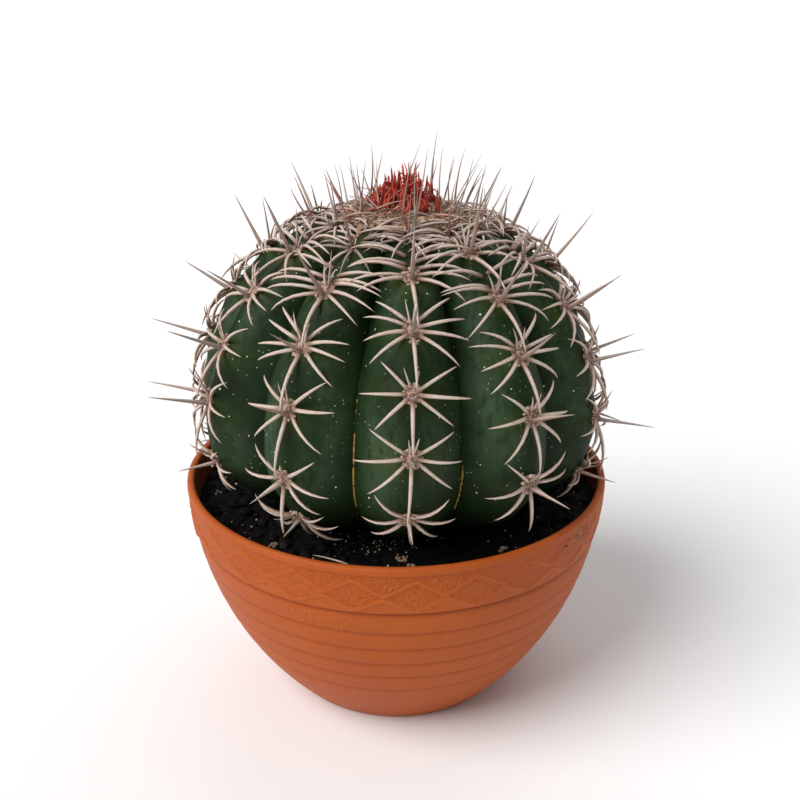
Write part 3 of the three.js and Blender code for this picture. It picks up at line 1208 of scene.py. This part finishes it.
@dataclass
class CactusBody:
    """The living body: eleven ribs with sharp grooves, swellings under the areoles and a root neck.

    Attributes:
        crowding: How much the points crowd at the crests and in the grooves.
        corky_lines: Place in ribs, and highest and lowest latitude in degrees, of each corky line.
        bloom_and_sheen_patches: Where the bloom is strongest, in degrees. Those at the front sit on the lit
            left flanks and are partly a painted sheen.
        browned_patch: The browned shoulder, in degrees.
    """

    shape: PlantShape = field(default_factory=PlantShape)
    segments_per_rib: int = 38
    rings: int = 190
    crowding: float = 0.62
    neck_latitude: float = math.radians(-72)
    top_latitude: float = math.radians(90)
    root_tip: float = 41.0
    corky_lines: tuple[tuple[float, float, float], ...] = ((0.5, -1.0, -24.0), (-0.5, 8.0, -22.0))
    bloom_and_sheen_patches: tuple[Patch, ...] = (
        Patch(-6, 8, -6, 17), Patch(-38, 8, 8, 14), Patch(24, 7, 18, 15),
        Patch(104, 9, 5, 16), Patch(170, 8, 12, 15), Patch(-112, 9, -3, 15),
    )
    browned_patch: Patch = Patch(-40, 17, 56, 9)

    def build(self, finishes: Finishes) -> Piece:
        """Models the body and puts it on the frame.

        Args:
            finishes: The scene's materials.

        Returns:
            The body.
        """
        sizes = {"segments": RIBS * self.segments_per_rib, "ring_count": self.rings, "radius": 1.0}
        body = start_primitive("ribbed_body", bpy.ops.mesh.primitive_uv_sphere_add, **sizes)
        bpy.ops.object.mode_set(mode="OBJECT")
        points, values = self.shape_points(read_points(body, 1.0))
        write_points(body, points)
        dress(body, [finishes.skin], values)
        bpy.ops.object.mode_set(mode="EDIT")
        close_and_face_out()
        return place_piece(lean(body), Slot.SKIN, "cactus_body")

    def shape_points(self, unit: np.ndarray) -> tuple[np.ndarray, dict[str, np.ndarray]]:
        """Places every point of the skin and its marks.

        Args:
            unit: The points of a ball of radius 1.

        Returns:
            The points, and the values that the finish reads.
        """
        shape, neck = self.shape, self.neck_latitude
        halves = azimuth_of(unit) / RIB_STEP * 2
        parts = (halves - self.crowding * np.sin(TURN * halves) / TURN) / 2
        latitude = np.arcsin(np.clip(unit[:, 2], -1, 1))
        latitude = neck + (latitude + math.pi / 2) * (self.top_latitude - neck) / math.pi
        turn, degrees = FIRST_RIB + parts * RIB_STEP, np.degrees(latitude)
        across = np.abs(parts - np.round(parts)) * 2

        radius, level = shape.crest(latitude)
        ribbed = smooth_step(neck + 0.03, neck + 0.32, latitude)
        near_areole = self.areole_nearness(latitude, parts)
        swell = 0.9 * near_areole * bump_at(across, 0, 0.4) - 0.35 * bump_at(across, 0, 0.12)
        radius = radius * (1 - ribbed * shape.groove_depth(across, latitude))
        radius += swell * ribbed * np.clip(shape.crest(latitude)[0] / 40, 0, 1)
        points = np.stack([radius * np.sin(turn), -radius * np.cos(turn), level], axis=1)
        wobble = noise_at(points, 30.0, 5.0) * 0.55 + noise_at(points, 9.0, 2.0) * 0.16
        points[:, :2] *= (1 + wobble * ribbed / np.maximum(radius, 5))[:, None]
        root = smooth_step(neck + 0.02, neck, latitude)
        points[:, 2] = points[:, 2] * (1 - root) + self.root_tip * root
        points[:, :2] *= (1 - root)[:, None]

        cork = bump_at(across, 1.0, 0.035) * smooth_step(0.25, 0.5, noise_at(points, 14.0, 7.0)) * 0.7
        for groove, top, foot in self.corky_lines:
            ends = smooth_step(top + 5, top, degrees) * smooth_step(foot - 4, foot, degrees)
            cork += bump_at(parts, groove, 0.013) * ends
        turned = np.degrees(turn)
        marks = {
            "yellowed": near_areole * bump_at(across, 0, 0.5) * 0.8,
            "cork": cork,
            "browned": self.browned_patch.at(turned, degrees) + smooth_step(62, 76, degrees) * 0.8,
            # The bloom patches at the front lie on the left flanks that face the light, where they are partly
            # a painted sheen.
            "bloom_and_sheen": sum(patch.at(turned, degrees) for patch in self.bloom_and_sheen_patches),
            "dusty": smooth_step(91.0, 80.0, points[:, 2]) * smooth_step(75.0, 79.0, points[:, 2]),
        }
        return points, {"across": across} | {name: np.clip(mark, 0, 1) for name, mark in marks.items()}

    def areole_nearness(self, latitude: np.ndarray, parts: np.ndarray) -> np.ndarray:
        """Works out how near each point's level is to an areole's.

        Args:
            latitude: The points' latitudes.
            parts: Their places round the plant, in ribs.

        Returns:
            1 at the level of each rib's own areoles and 0 half-way between them.
        """
        shape = self.shape
        rise = latitude - shape.first_latitude
        step = np.where(rise > 0, rise / shape.upper_spacing, rise / shape.lower_spacing)
        offset = (np.round(parts).astype(int) % RIBS * shape.stagger) % 1
        away = (step - offset + 0.08) % 1
        return bump_at(np.minimum(away, 1 - away), 0, 0.22)


# ---- Spines ----


@dataclass(frozen=True)
class Arc:
    """How a spine curves. Angles are in degrees.

    Attributes:
        turn: Direction across the rib, from straight down (0) to straight up (180).
        length: Its length.
        radius: Its thickness at the foot, as a radius.
        rise: Angle above the skin where it leaves.
        fall: Angle above the skin at its tip.
        sway: Sideways bend at its tip.
        tint: 0 pale, 1 grey brown.
        young: 0 grown, 1 fresh and red.
        lift: How far up the rib it starts, as a share of the way to the next areole.
    """

    turn: float
    length: float
    radius: float
    rise: float
    fall: float
    sway: float = 0.0
    tint: float = 0.0
    young: float = 0.0
    lift: float = 0.0


class Thorns:
    """Models the straight thorn, needle, hair and bead once, and bends copies of them into place."""

    LEVELS = (0.05, 0.12, 0.28, 0.46, 0.64, 0.80, 0.92)
    THORN_GIRTHS = (1.25, 1.02, 0.97, 0.88, 0.73, 0.52, 0.28)
    NEEDLE_GIRTHS = (1.15, 0.97, 0.82, 0.66, 0.48, 0.31, 0.17)
    HAIR_LEVELS = (0.2, 0.4, 0.6, 0.8, 0.92)
    HAIR_GIRTHS = (1.0, 0.95, 0.85, 0.7, 0.5)
    TIP_GIRTH = 0.02

    def __init__(self) -> None:
        """Models the forms."""
        self.thorn = self._make_thorn(8, self.LEVELS, self.THORN_GIRTHS)
        self.needle = self._make_thorn(7, self.LEVELS, self.NEEDLE_GIRTHS)
        self.hair = self._make_thorn(4, self.HAIR_LEVELS, self.HAIR_GIRTHS)
        self.bead = self._make_bead()

    @classmethod
    def _make_thorn(cls, sides: int, levels: Sequence[float], girths: Sequence[float]) -> Form:
        """Extrudes a disc into a tapered thorn of length 1, standing on the origin.

        Args:
            sides: How many sides it has.
            levels: Where its rings are, from 0 to 1.
            girths: How wide each ring is.

        Returns:
            The closed form.
        """
        disc = {"vertices": sides, "radius": 1.0, "fill_type": "NGON"}
        thorn = start_primitive("thorn", bpy.ops.mesh.primitive_circle_add, **disc)
        height, girth = 0.0, 1.0
        for level, wide in zip((*levels, 1.0), (*girths, cls.TIP_GIRTH), strict=True):
            bpy.ops.mesh.extrude_region_move(TRANSFORM_OT_translate={"value": (0, 0, level - height)})
            scale = wide / girth
            bpy.ops.transform.resize(value=(scale, scale, 1), center_override=(0, 0, level))
            height, girth = level, wide
        bpy.ops.mesh.merge(type="CENTER")
        close_and_face_out(1e-6)
        return Form.take(thorn)

    @staticmethod
    def _make_bead() -> Form:
        """Models a small ball, squashed a little, for nubs, crumbs and pads.

        Returns:
            The form.
        """
        ball = {"segments": 8, "ring_count": 6, "radius": 1.0}
        bead = start_primitive("bead", bpy.ops.mesh.primitive_uv_sphere_add, **ball)
        bpy.ops.transform.resize(value=(1, 1, 0.9), center_override=(0, 0, 0))
        close_and_face_out(1e-6)
        return Form.take(bead)

    @staticmethod
    def bend(form: Form, arc: Arc, wave: float) -> tuple[np.ndarray, np.ndarray, np.ndarray]:
        """Bends a copy of a thorn.

        Args:
            form: The straight form.
            arc: How it curves.
            wave: How much it waves from side to side, in degrees.

        Returns:
            The points along, across and above the skin, how far along each is, and how far on top.
        """
        part = np.linspace(0, 1, 25)
        pitch = np.radians(arc.rise + (arc.fall - arc.rise) * part**1.35)
        yaw = np.radians(arc.sway * part**1.5 + wave * np.sin(part * 7.0 + arc.length))
        heading = np.stack([np.cos(pitch) * np.cos(yaw), np.cos(pitch) * np.sin(yaw), np.sin(pitch)], axis=1)
        middle = (heading[1:] + heading[:-1]) / 2 * (arc.length / (len(part) - 1))
        path = np.concatenate([np.zeros((1, 3)), np.cumsum(middle, axis=0)])
        along = np.clip(form.points[:, 2], 0, 1)
        centre, ahead = (
            np.stack([np.interp(along, part, line[:, i]) for i in range(3)], axis=1)
            for line in (path, heading)
        )
        ahead /= np.linalg.norm(ahead, axis=1)[:, None]
        turn = np.interp(along, part, yaw)
        side = np.stack([-np.sin(turn), np.cos(turn), np.zeros_like(turn)], axis=1)
        flat = form.points[:, :2] * arc.radius
        points = centre + side * flat[:, :1] + np.cross(ahead, side) * flat[:, 1:2]
        reach = np.maximum(np.hypot(form.points[:, 0], form.points[:, 1]), 1e-6)
        return points, along, form.points[:, 1] / reach

    def stand(self, heap: Heap, form: Form, spot: Spot, arc: Arc, start: float = 1.5, sink: float = 0.0,
              finish: int = 0, wave: float = 0.0) -> None:
        """Bends a copy and sets it on the plant.

        Args:
            heap: Where the copy goes.
            form: The straight form.
            spot: Where it stands.
            arc: How it curves.
            start: How far from the middle of the spot it starts.
            sink: How deep its foot is.
            finish: Which of the heap's finishes it takes.
            wave: How much it waves, in degrees.
        """
        points, along, topside = self.bend(form, arc, wave)
        angle = math.radians(arc.turn)
        ahead = spot.down * math.cos(angle) + spot.side * math.sin(angle)
        basis = np.stack([ahead, np.cross(spot.outward, ahead), spot.outward])
        placed = spot.place + (points + [start, 0, -sink]) @ basis
        heap.add(form, placed, finish, along=along, topside=topside, tint=arc.tint, young=arc.young)

    def nub(self, heap: Heap, place: np.ndarray, size: float, tint: float, rng: random.Random,
            squash: float = 1.0, finish: int = 0) -> None:
        """Adds a lumpy bead.

        Args:
            heap: Where it goes.
            place: Its middle.
            size: Its radius.
            tint: 0 dark, 1 pale.
            rng: Gives its lumps.
            squash: Its height, as a share of its width.
            finish: Which of the heap's finishes it takes.
        """
        lumps = np.array([0.8 + 0.4 * rng.random() for _ in self.bead.points])
        stretch = np.array([0.8 + 0.4 * rng.random(), 0.8 + 0.4 * rng.random(), squash])
        points = self.bead.points * lumps[:, None] * stretch * size + place
        heap.add(self.bead, points, finish, along=0.0, topside=1.0, tint=tint)


@dataclass
class SpineClusters:
    """The spine clusters of all ribs, one piece for each rib.

    Attributes:
        crowded_from: From this step up, the areoles are long and set close with spines.
        closer_from: From this step up, they have one more pair.
        low_until: Up to this step, the spines are short and keep inside the pot.
    """

    shape: PlantShape = field(default_factory=PlantShape)
    felt_radius: float = 2.75
    fringe: int = 17
    inner_nubs: int = 9
    crowded_from: float = 2.3
    closer_from: float = 1.2
    low_until: float = -0.9
    upright_from: float = 55.0
    seed: int = 11

    def grown_arcs(self, step: float, rng: random.Random) -> list[Arc]:
        """Chooses the spines of one areole.

        Args:
            step: How far up its rib the areole is.
            rng: Gives the natural variation.

        Returns:
            The spines.
        """
        def vary(value: float, spread: float) -> float:
            """Returns the value with a natural spread."""
            return value + rng.uniform(-spread, spread)

        high, low = step > self.crowded_from, step < self.low_until
        turn, reach = vary(0, 6), vary(21.5, 1.5) * (0.66 if low else 1.0)
        arcs = [Arc(turn, reach, vary(0.74, 0.05), 24, -22, vary(0, 10))]
        for turn, lift in self.side_spines(step):
            for side in (-1, 1):
                reach = vary(21.5 if high else 18.0, 1.8) * (0.88 if turn > 120 or low else 1.0)
                arcs.append(Arc(
                    side * vary(turn, 6), reach, vary(0.68, 0.05), vary(30 if high else 27, 4), vary(-42, 6),
                    side * vary(0, 9), rng.random() * 0.3, lift=lift * vary(1, 0.24),
                ))
        for turn in (168, -160):
            if rng.random() < 0.85:
                arcs.append(Arc(vary(turn, 9), vary(9.5, 1.8), vary(0.42, 0.05), 48, 18, vary(0, 8), 0.3))
        grey = rng.uniform(0.45, 0.85)
        tilt = vary(97, 7) if high else vary(112 if low else 94, 9)
        reach = 24 if high else 14 if low else 22
        arcs.append(Arc(vary(0, 12), vary(reach, 3), vary(0.84, 0.05), tilt, tilt + vary(0, 6), 0, grey))
        if high:
            arcs.append(Arc(vary(180, 40), vary(16, 3), vary(0.6, 0.06), vary(62, 8), 60, 0, grey))
        return arcs

    def side_spines(self, step: float) -> tuple[Point, ...]:
        """Chooses the pairs of side spines: more pairs, further up, on higher areoles.

        Args:
            step: How far up its rib the areole is.

        Returns:
            The turn and lift of each pair.
        """
        if step > self.crowded_from:
            return (60, 0.0), (80, 0.03), (86, 0.14), (92, 0.27), (98, 0.41)
        if step > self.closer_from:
            return (58, 0.0), (84, 0.02), (104, 0.06), (128, 0.1)
        return (50, 0.0), (90, 0.0), (130, 0.0)

    def felt(self, thorns: Thorns, heap: Heap, spot: Spot, rng: random.Random) -> None:
        """Adds an areole's felt: a low mound with a fringe of nubs.

        Args:
            thorns: The forms.
            heap: Where it goes.
            spot: Where the areole is.
            rng: Gives the natural variation.
        """
        draw, basis = rng.uniform, np.stack([spot.down, spot.side, spot.outward])
        mound = thorns.bead.points * [self.felt_radius * 1.15, self.felt_radius, 1.25]
        heap.add(thorns.bead, spot.place + mound @ basis, 1, tint=0.25, topside=1.0)
        for i in range(self.fringe):
            angle, reach = i * TURN / self.fringe + draw(-0.15, 0.15), self.felt_radius * draw(0.95, 1.22)
            local = np.array([math.cos(angle) * reach * 1.12, math.sin(angle) * reach, draw(-0.1, 0.8)])
            thorns.nub(heap, spot.place + local @ basis, draw(0.5, 0.85), rng.random(), rng, finish=1)
        for _ in range(self.inner_nubs):
            angle, reach = draw(0, TURN), draw(0.3, 1.7)
            local = np.array([math.cos(angle) * reach, math.sin(angle) * reach, draw(1.0, 1.5)])
            thorns.nub(heap, spot.place + local @ basis, draw(0.4, 0.6), rng.random() * 0.7, rng, finish=1)

    def build(self, thorns: Thorns, finishes: Finishes) -> list[Piece]:
        """Builds every rib's clusters and puts them on the frame.

        Args:
            thorns: The forms.
            finishes: The scene's materials.

        Returns:
            One piece for each rib.
        """
        pieces = []
        for rib in range(RIBS):
            rng = random.Random(self.seed * 100 + rib)
            heap = Heap(("along", "topside", "tint", "young"))
            for step in self.shape.steps_on(rib)[:-1]:
                self.felt(thorns, heap, self.shape.spot(rib, step), rng)
                for arc in self.grown_arcs(step, rng):
                    form = thorns.needle if arc.rise > self.upright_from else thorns.thorn
                    thorns.stand(heap, form, self.shape.spot(rib, step + arc.lift), arc)
            piece = heap.build(f"rib_{rib + 1}_spines", finishes.spine, finishes.felt)
            names = [f"spine_cluster_{rib + 1}_{i + 1}" for i in range(self.shape.areoles_up)]
            pieces.append(place_piece(lean(piece), Slot.SPINE, *names))
        return pieces


# ---- Crown ----


@dataclass
class Crown:
    """The woolly crown: felted ring, young spines and the red tuft.

    Attributes:
        youngest_step: No areole of the crown sits further up its rib.
        youngest_sides: Turn and lift of each pair of their side spines.
        crown_tilt: How far the ring's surface leans outwards, in degrees.
        upright_every: One in so many of the tangled spines stands up.
    """

    shape: PlantShape = field(default_factory=PlantShape)
    wool_radius: float = 21.5
    wool_base: float = 186.5
    wool_rise: float = 7.4
    wool_nubs: int = 260
    fibres: int = 1300
    youngest_step: float = 3.95
    youngest_sides: tuple[Point, ...] = (
        (20, 0.0), (60, 0.0), (78, 0.04), (86, 0.14), (92, 0.26), (98, 0.38), (150, 0.4),
    )
    young_spines: int = 190
    upright_every: int = 8
    crown_tilt: float = 18.0
    tuft_radius: float = 16.2
    tuft_base: float = 190.0
    tuft_top: float = 211.5
    tuft_core: int = 26
    bristles: int = 190
    seed: int = 7

    @staticmethod
    def level_spot(azimuth: float, radius: float, level: float, tilt: float = 0.0) -> Spot:
        """Finds a spot on the crown that faces up.

        Args:
            azimuth: Its azimuth.
            radius: Its distance from the axis.
            level: Its level.
            tilt: How far it leans outwards, in degrees.

        Returns:
            The spot.
        """
        away, tilt = around(azimuth, 1.0), math.radians(tilt)
        outward = UP * math.cos(tilt) + away * math.sin(tilt)
        down = away * math.cos(tilt) - UP * math.sin(tilt)
        return Spot(away * radius + UP * level, outward, down)

    def wool_level(self, radius: float, spread: float) -> float:
        """Returns the wool's level at a radius, for a mound that is so many times as wide as the ring."""
        fallen = (radius / (self.wool_radius * spread)) ** 2
        return self.wool_base + self.wool_rise * math.sqrt(max(0.0, 1 - fallen))

    def build(self, thorns: Thorns, finishes: Finishes) -> None:
        """Builds the crown's pieces and puts them on the frame.

        Args:
            thorns: The forms.
            finishes: The scene's materials.
        """
        rng = random.Random(self.seed)
        wool = self.build_wool(thorns, rng).build("crown_wool", finishes.wool)
        place_piece(lean(wool), Slot.WOOL, "crown_wool_and_spines")
        spines = self.build_spines(thorns, rng).build("crown_spines", finishes.spine)
        place_piece(lean(spines), Slot.SPINE)
        tuft = self.build_tuft(thorns, rng).build("red_tuft", finishes.bristle)
        place_piece(lean(tuft), Slot.BRISTLE, "cephalium_bristles")

    def build_wool(self, thorns: Thorns, rng: random.Random) -> Heap:
        """Heaps up the mound of wool, with its loose fibres.

        Args:
            thorns: The forms.
            rng: Gives the natural variation.

        Returns:
            The heap.
        """
        heap, draw = Heap(("along", "tint")), rng.uniform
        for i in range(self.wool_nubs):
            radius = self.wool_radius * math.sqrt((i + 0.5) / self.wool_nubs)
            place = around(i * GOLDEN_TURN, radius, self.wool_level(radius, 1.05) - 1.2)
            thorns.nub(heap, place, draw(1.8, 3.0), rng.random(), rng)
        for _ in range(self.fibres):
            radius = self.wool_radius * draw(0.4, 1.04)
            spot = self.level_spot(draw(0, TURN), radius, self.wool_level(radius, 1.06))
            arc = Arc(draw(0, 360), draw(3, 7), draw(0.1, 0.2), draw(20, 75), draw(-70, 20), draw(-60, 60),
                      rng.random())
            thorns.stand(heap, thorns.hair, spot, arc, start=0.0, sink=0.5, wave=20)
        return heap

    def build_spines(self, thorns: Thorns, rng: random.Random) -> Heap:
        """Sets out the youngest areoles and the tangle of thin spines round the tuft.

        Args:
            thorns: The forms.
            rng: Gives the natural variation.

        Returns:
            The heap.
        """
        heap, draw = Heap(("along", "topside", "tint", "young")), rng.uniform
        for rib in range(RIBS):
            step = min(self.shape.steps_on(rib)[-1], self.youngest_step)
            for turn, lift in self.youngest_sides:
                foot = self.shape.spot(rib, step + lift)
                for side in (-1, 1):
                    arc = Arc(side * (turn + draw(-9, 9)), draw(12, 18), draw(0.5, 0.66), draw(14, 30),
                              draw(-48, -20), draw(-15, 15), draw(0.2, 0.95))
                    thorns.stand(heap, thorns.thorn, foot, arc)
            for _ in range(2):
                arc = Arc(draw(0, 360), draw(15, 23), draw(0.42, 0.66), draw(62, 92), draw(66, 95), 0,
                          draw(0.5, 0.9), rng.choice((0, 0, 0.25)))
                thorns.stand(heap, thorns.needle, self.shape.spot(rib, step), arc, start=0.8)
        for i in range(self.young_spines):
            azimuth, radius = draw(0, TURN), draw(12.5, 25)
            level = self.wool_base + self.wool_rise - 0.028 * (radius - 8) ** 2
            spot = self.level_spot(azimuth, radius, level + draw(-1, 0.6), self.crown_tilt)
            if i % self.upright_every == 0:
                arc = Arc(draw(0, 360), draw(18, 28), draw(0.34, 0.5), draw(56, 88), draw(60, 100),
                          draw(-16, 16), draw(0.4, 0.95), 0.55 if rng.random() < 0.25 else 0.0)
            else:
                arc = Arc(draw(0, 360), draw(10, 20), draw(0.42, 0.62), draw(8, 38), draw(-35, 10),
                          draw(-35, 35), draw(0.3, 1), 0.35 if rng.random() < 0.25 else 0.0)
            thorns.stand(heap, thorns.needle, spot, arc, start=0.0, sink=0.5)
        return heap

    def build_tuft(self, thorns: Thorns, rng: random.Random) -> Heap:
        """Sets out the red bristles: a loose tent, tallest in the middle, over a dark core.

        Args:
            thorns: The forms.
            rng: Gives the natural variation.

        Returns:
            The heap.
        """
        heap, draw = Heap(("along", "tint")), rng.uniform
        for i in range(self.tuft_core):
            height = i * 0.26
            away, azimuth = (9.0 - 0.8 * height) * rng.random(), draw(0, TURN)
            thorns.nub(heap, around(azimuth, away, self.tuft_base + height), draw(1.5, 2.4), 0.0, rng)
        for i in range(self.bristles):
            part = math.sqrt((i + 0.5) / self.bristles)
            reach = (self.tuft_top - self.tuft_base) * (1.14 - 0.72 * part) * draw(0.8, 1.0)
            spot = self.level_spot(draw(0, TURN), self.tuft_radius * part, self.tuft_base)
            arc = Arc(180 + draw(-75, 75), reach, draw(0.42, 0.64), 94 - 26 * part + draw(-9, 9),
                      draw(0, 100), draw(-75, 75), rng.random())
            thorns.stand(heap, thorns.hair, spot, arc, start=0.0, sink=0.6, wave=24)
        return heap


# ---- Soil ----


@dataclass
class SoilBed:
    """The potting soil with its crumbs, pale grit and fallen spines.

    Attributes:
        foot_radius: Nothing lies nearer to the plant's axis.
        bark: Azimuth and radius of each small heap of bark.
        dust: Number of fine grains at the plant's front.
    """

    pot: BowlPot
    level: float = SOIL_LEVEL
    steps: int = 300
    foot_radius: float = 41.0
    crumbs: int = 620
    grit: int = 150
    bark: tuple[Point, ...] = (
        (-0.42, 70.0), (0.09, 66.0), (0.03, 60.0), (0.62, 66.0), (-0.72, 67.0), (2.4, 68.0),
    )
    bark_bits: int = 7
    dust: int = 60
    fallen: int = 9
    seed: int = 3

    def profile(self) -> list[Point]:
        """Draws the profile, from the middle of the underside up the pot's wall and in to the plant.

        Returns:
            Its points.
        """
        low = self.pot.floor_top + 0.5
        sides = np.linspace(low, self.level - 2, 10)
        edge = float(self.pot.inner(np.array([self.level]))[0]) - 0.5
        return [
            *((0.0, low), (20.0, low)),
            *((float(r) - 0.6, float(z)) for r, z in zip(self.pot.inner(sides), sides, strict=True)),
            *((float(r), self.level) for r in np.linspace(edge, 24.0, 58)),
            (0.0, self.level - 6),
        ]

    def surface(self, x: float, y: float) -> float:
        """Works out the soil's level: rough, heaped at the plant and sunk at the wall.

        Args:
            x: How far right of the axis.
            y: How far behind the axis.

        Returns:
            The level.
        """
        radius, place = math.hypot(x, y), Vector((x, y, 0))
        lumps, crumbs = noise.noise(place / 9.0) * 1.5, noise.noise(place / 3.2) * 0.8
        rough = lumps + crumbs + noise.noise(place / 1.4) * 0.35
        return self.level + rough + 1.6 * bump_at(radius, 46, 7) - 0.9 * bump_at(radius, 78, 3)

    def build(self, thorns: Thorns, finishes: Finishes) -> None:
        """Builds the soil and what lies on it, and puts them on the frame.

        Args:
            thorns: The forms.
            finishes: The scene's materials.
        """
        bed = spin_profile("soil_bed", self.profile(), self.steps)
        points = read_points(bed)
        top = points[:, 2] > self.level - 1
        points[top, 2] = [self.surface(x, y) for x, y in points[top, :2]]
        write_points(bed, points)
        dress(bed, [finishes.soil], {"tint": np.zeros(len(points))})
        place_piece(bed, Slot.SOIL, "potting_soil")
        rng = random.Random(self.seed)
        place_piece(self.scatter_crumbs(thorns, rng).build("soil_crumbs", finishes.soil), Slot.SOIL)
        grit = self.scatter_grit(thorns, rng)
        place_piece(grit.build("soil_grit_and_fallen_spines", finishes.crumb, finishes.spine), Slot.SOIL)

    def on_top(self, azimuth: float, radius: float, rise: float = 0.0) -> np.ndarray:
        """Returns a place that is so far above the soil's surface."""
        place = around(azimuth, radius)
        return place + UP * (self.surface(*place[:2]) + rise)

    def pick(self, rng: random.Random, low: float, high: float) -> np.ndarray:
        """Returns a random place on the soil between two radii."""
        radius = math.sqrt(rng.uniform(low**2, high**2))
        return self.on_top(rng.uniform(0, TURN), radius)

    def scatter_crumbs(self, thorns: Thorns, rng: random.Random) -> Heap:
        """Scatters dark crumbs of soil.

        Args:
            thorns: The forms.
            rng: Gives the natural variation.

        Returns:
            The heap.
        """
        heap, draw = Heap(("along", "topside", "tint")), rng.uniform
        for _ in range(self.crumbs):
            size = draw(0.4, 1.7) if rng.random() < 0.85 else draw(1.6, 2.6)
            place = self.pick(rng, self.foot_radius, 76.5) + UP * size * 0.25
            thorns.nub(heap, place, size, rng.random() ** 3, rng, draw(0.55, 0.9))
        return heap

    def scatter_grit(self, thorns: Thorns, rng: random.Random) -> Heap:
        """Scatters pale grit, a few tan pieces of bark, fine dust and fallen spines.

        Args:
            thorns: The forms.
            rng: Gives the natural variation.

        Returns:
            The heap.
        """
        heap, draw = Heap(("along", "topside", "tint", "young")), rng.uniform
        for _ in range(self.grit):
            place, size = self.pick(rng, self.foot_radius + 4, 75), draw(0.18, 0.55)
            thorns.nub(heap, place + UP * size * 0.6, size, draw(0.5, 1), rng)
        for azimuth, radius in self.bark:
            for _ in range(self.bark_bits):
                offset = np.array([draw(-1.6, 1.6), draw(-1.6, 1.6), draw(0, 0.8)])
                place = around(azimuth, radius, self.level + 0.6) + offset
                thorns.nub(heap, place, draw(0.5, 1.0), draw(0.05, 0.45), rng, 0.7)
        for _ in range(self.dust):
            azimuth, radius, size = rng.gauss(-0.12, 0.2), draw(43, 56), draw(0.12, 0.32)
            thorns.nub(heap, self.on_top(azimuth, radius, size * 0.6), size, draw(0.6, 1), rng)
        for _ in range(self.fallen):
            place = self.pick(rng, 54, 68)
            away = place * [1, 1, 0] / np.hypot(place[0], place[1])
            heading = rng.choice((-1, 1)) * np.cross(UP, away) - away * draw(0.1, 0.8)
            spot = Spot(place + UP * 1.2, UP, heading / np.linalg.norm(heading))
            arc = Arc(0, draw(9, 16), draw(0.3, 0.5), 6, -6, draw(-15, 15), 0.2)
            thorns.stand(heap, thorns.thorn, spot, arc, finish=1)
        return heap


# ---- Studio ----


@dataclass
class Studio:
    """The camera, the soft lights and the pale floor. Sizes are in metres."""

    target: tuple[float, float, float] = (0.0015, 0.0, 0.1169)
    distance: float = 0.420
    elevation: float = math.radians(22.1)
    lens: float = 48.3
    sensor: float = 36.0
    clip: Point = (0.01, 50.0)
    floor_size: float = 80.0
    world: float = 0.34

    def build(self, finishes: Finishes) -> None:
        """Builds the studio.

        Args:
            finishes: The scene's materials.
        """
        floor = start_primitive("studio_floor", bpy.ops.mesh.primitive_plane_add, size=self.floor_size)
        bpy.ops.mesh.subdivide(number_cuts=3)
        bpy.ops.object.mode_set(mode="OBJECT")
        floor.data.materials.append(finishes.floor)
        self.sun("key", (-0.95, -0.62, 1.15), 42.0, 2.9)
        self.sun("rim", (0.25, 0.9, 1.0), 60.0, 0.6)
        scene, world = bpy.context.scene, bpy.data.worlds.new("pale_room")
        scene.world, world.use_nodes = world, True
        background = world.node_tree.nodes["Background"].inputs
        background["Color"].default_value = (1, 1, 1, 1)
        background["Strength"].default_value = self.world
        self.camera()
        scene.view_settings.view_transform = "Standard"

    @staticmethod
    def aim(name: str, data: bpy.types.ID, place: Vector, back: Vector) -> Piece:
        """Adds a lamp or a camera.

        Args:
            name: Its name.
            data: Its settings.
            place: Where it is.
            back: The direction that it faces away from.

        Returns:
            The new object.
        """
        made = bpy.data.objects.new(name, data)
        bpy.context.scene.collection.objects.link(made)
        made.location = place
        made.rotation_euler = (-back).to_track_quat("-Z", "Y").to_euler()
        return made

    def sun(self, name: str, place: tuple[float, float, float], softness: float, strength: float) -> None:
        """Adds a broad, soft light that shines evenly from one side.

        Args:
            name: Its name.
            place: A point that it shines from, towards the middle of the floor.
            softness: How wide it looks, in degrees.
            strength: Its strength, in watts per square metre.
        """
        lamp = bpy.data.lights.new(name, "SUN")
        lamp.angle, lamp.energy = math.radians(softness), strength
        self.aim(name, lamp, Vector(place), Vector(place))

    def camera(self) -> None:
        """Adds the camera in front of the plant, looking a little down."""
        camera = bpy.data.cameras.new("camera")
        camera.lens, camera.sensor_width = self.lens, self.sensor
        camera.clip_start, camera.clip_end = self.clip
        back = Vector((0, -math.cos(self.elevation), math.sin(self.elevation)))
        place = Vector(self.target) + back * self.distance
        bpy.context.scene.camera = self.aim("camera", camera, place, back)


def main() -> None:
    """Builds the scene in order."""
    logging.basicConfig(level=logging.INFO, format="%(name)s %(message)s")
    finishes = Finishes()
    Studio().build(finishes)
    pot = BowlPot()
    pot.build(finishes)
    thorns = Thorns()
    SoilBed(pot).build(thorns, finishes)
    CactusBody().build(finishes)
    SpineClusters().build(thorns, finishes)
    Crown().build(thorns, finishes)


if __name__ == "__main__":
    main()
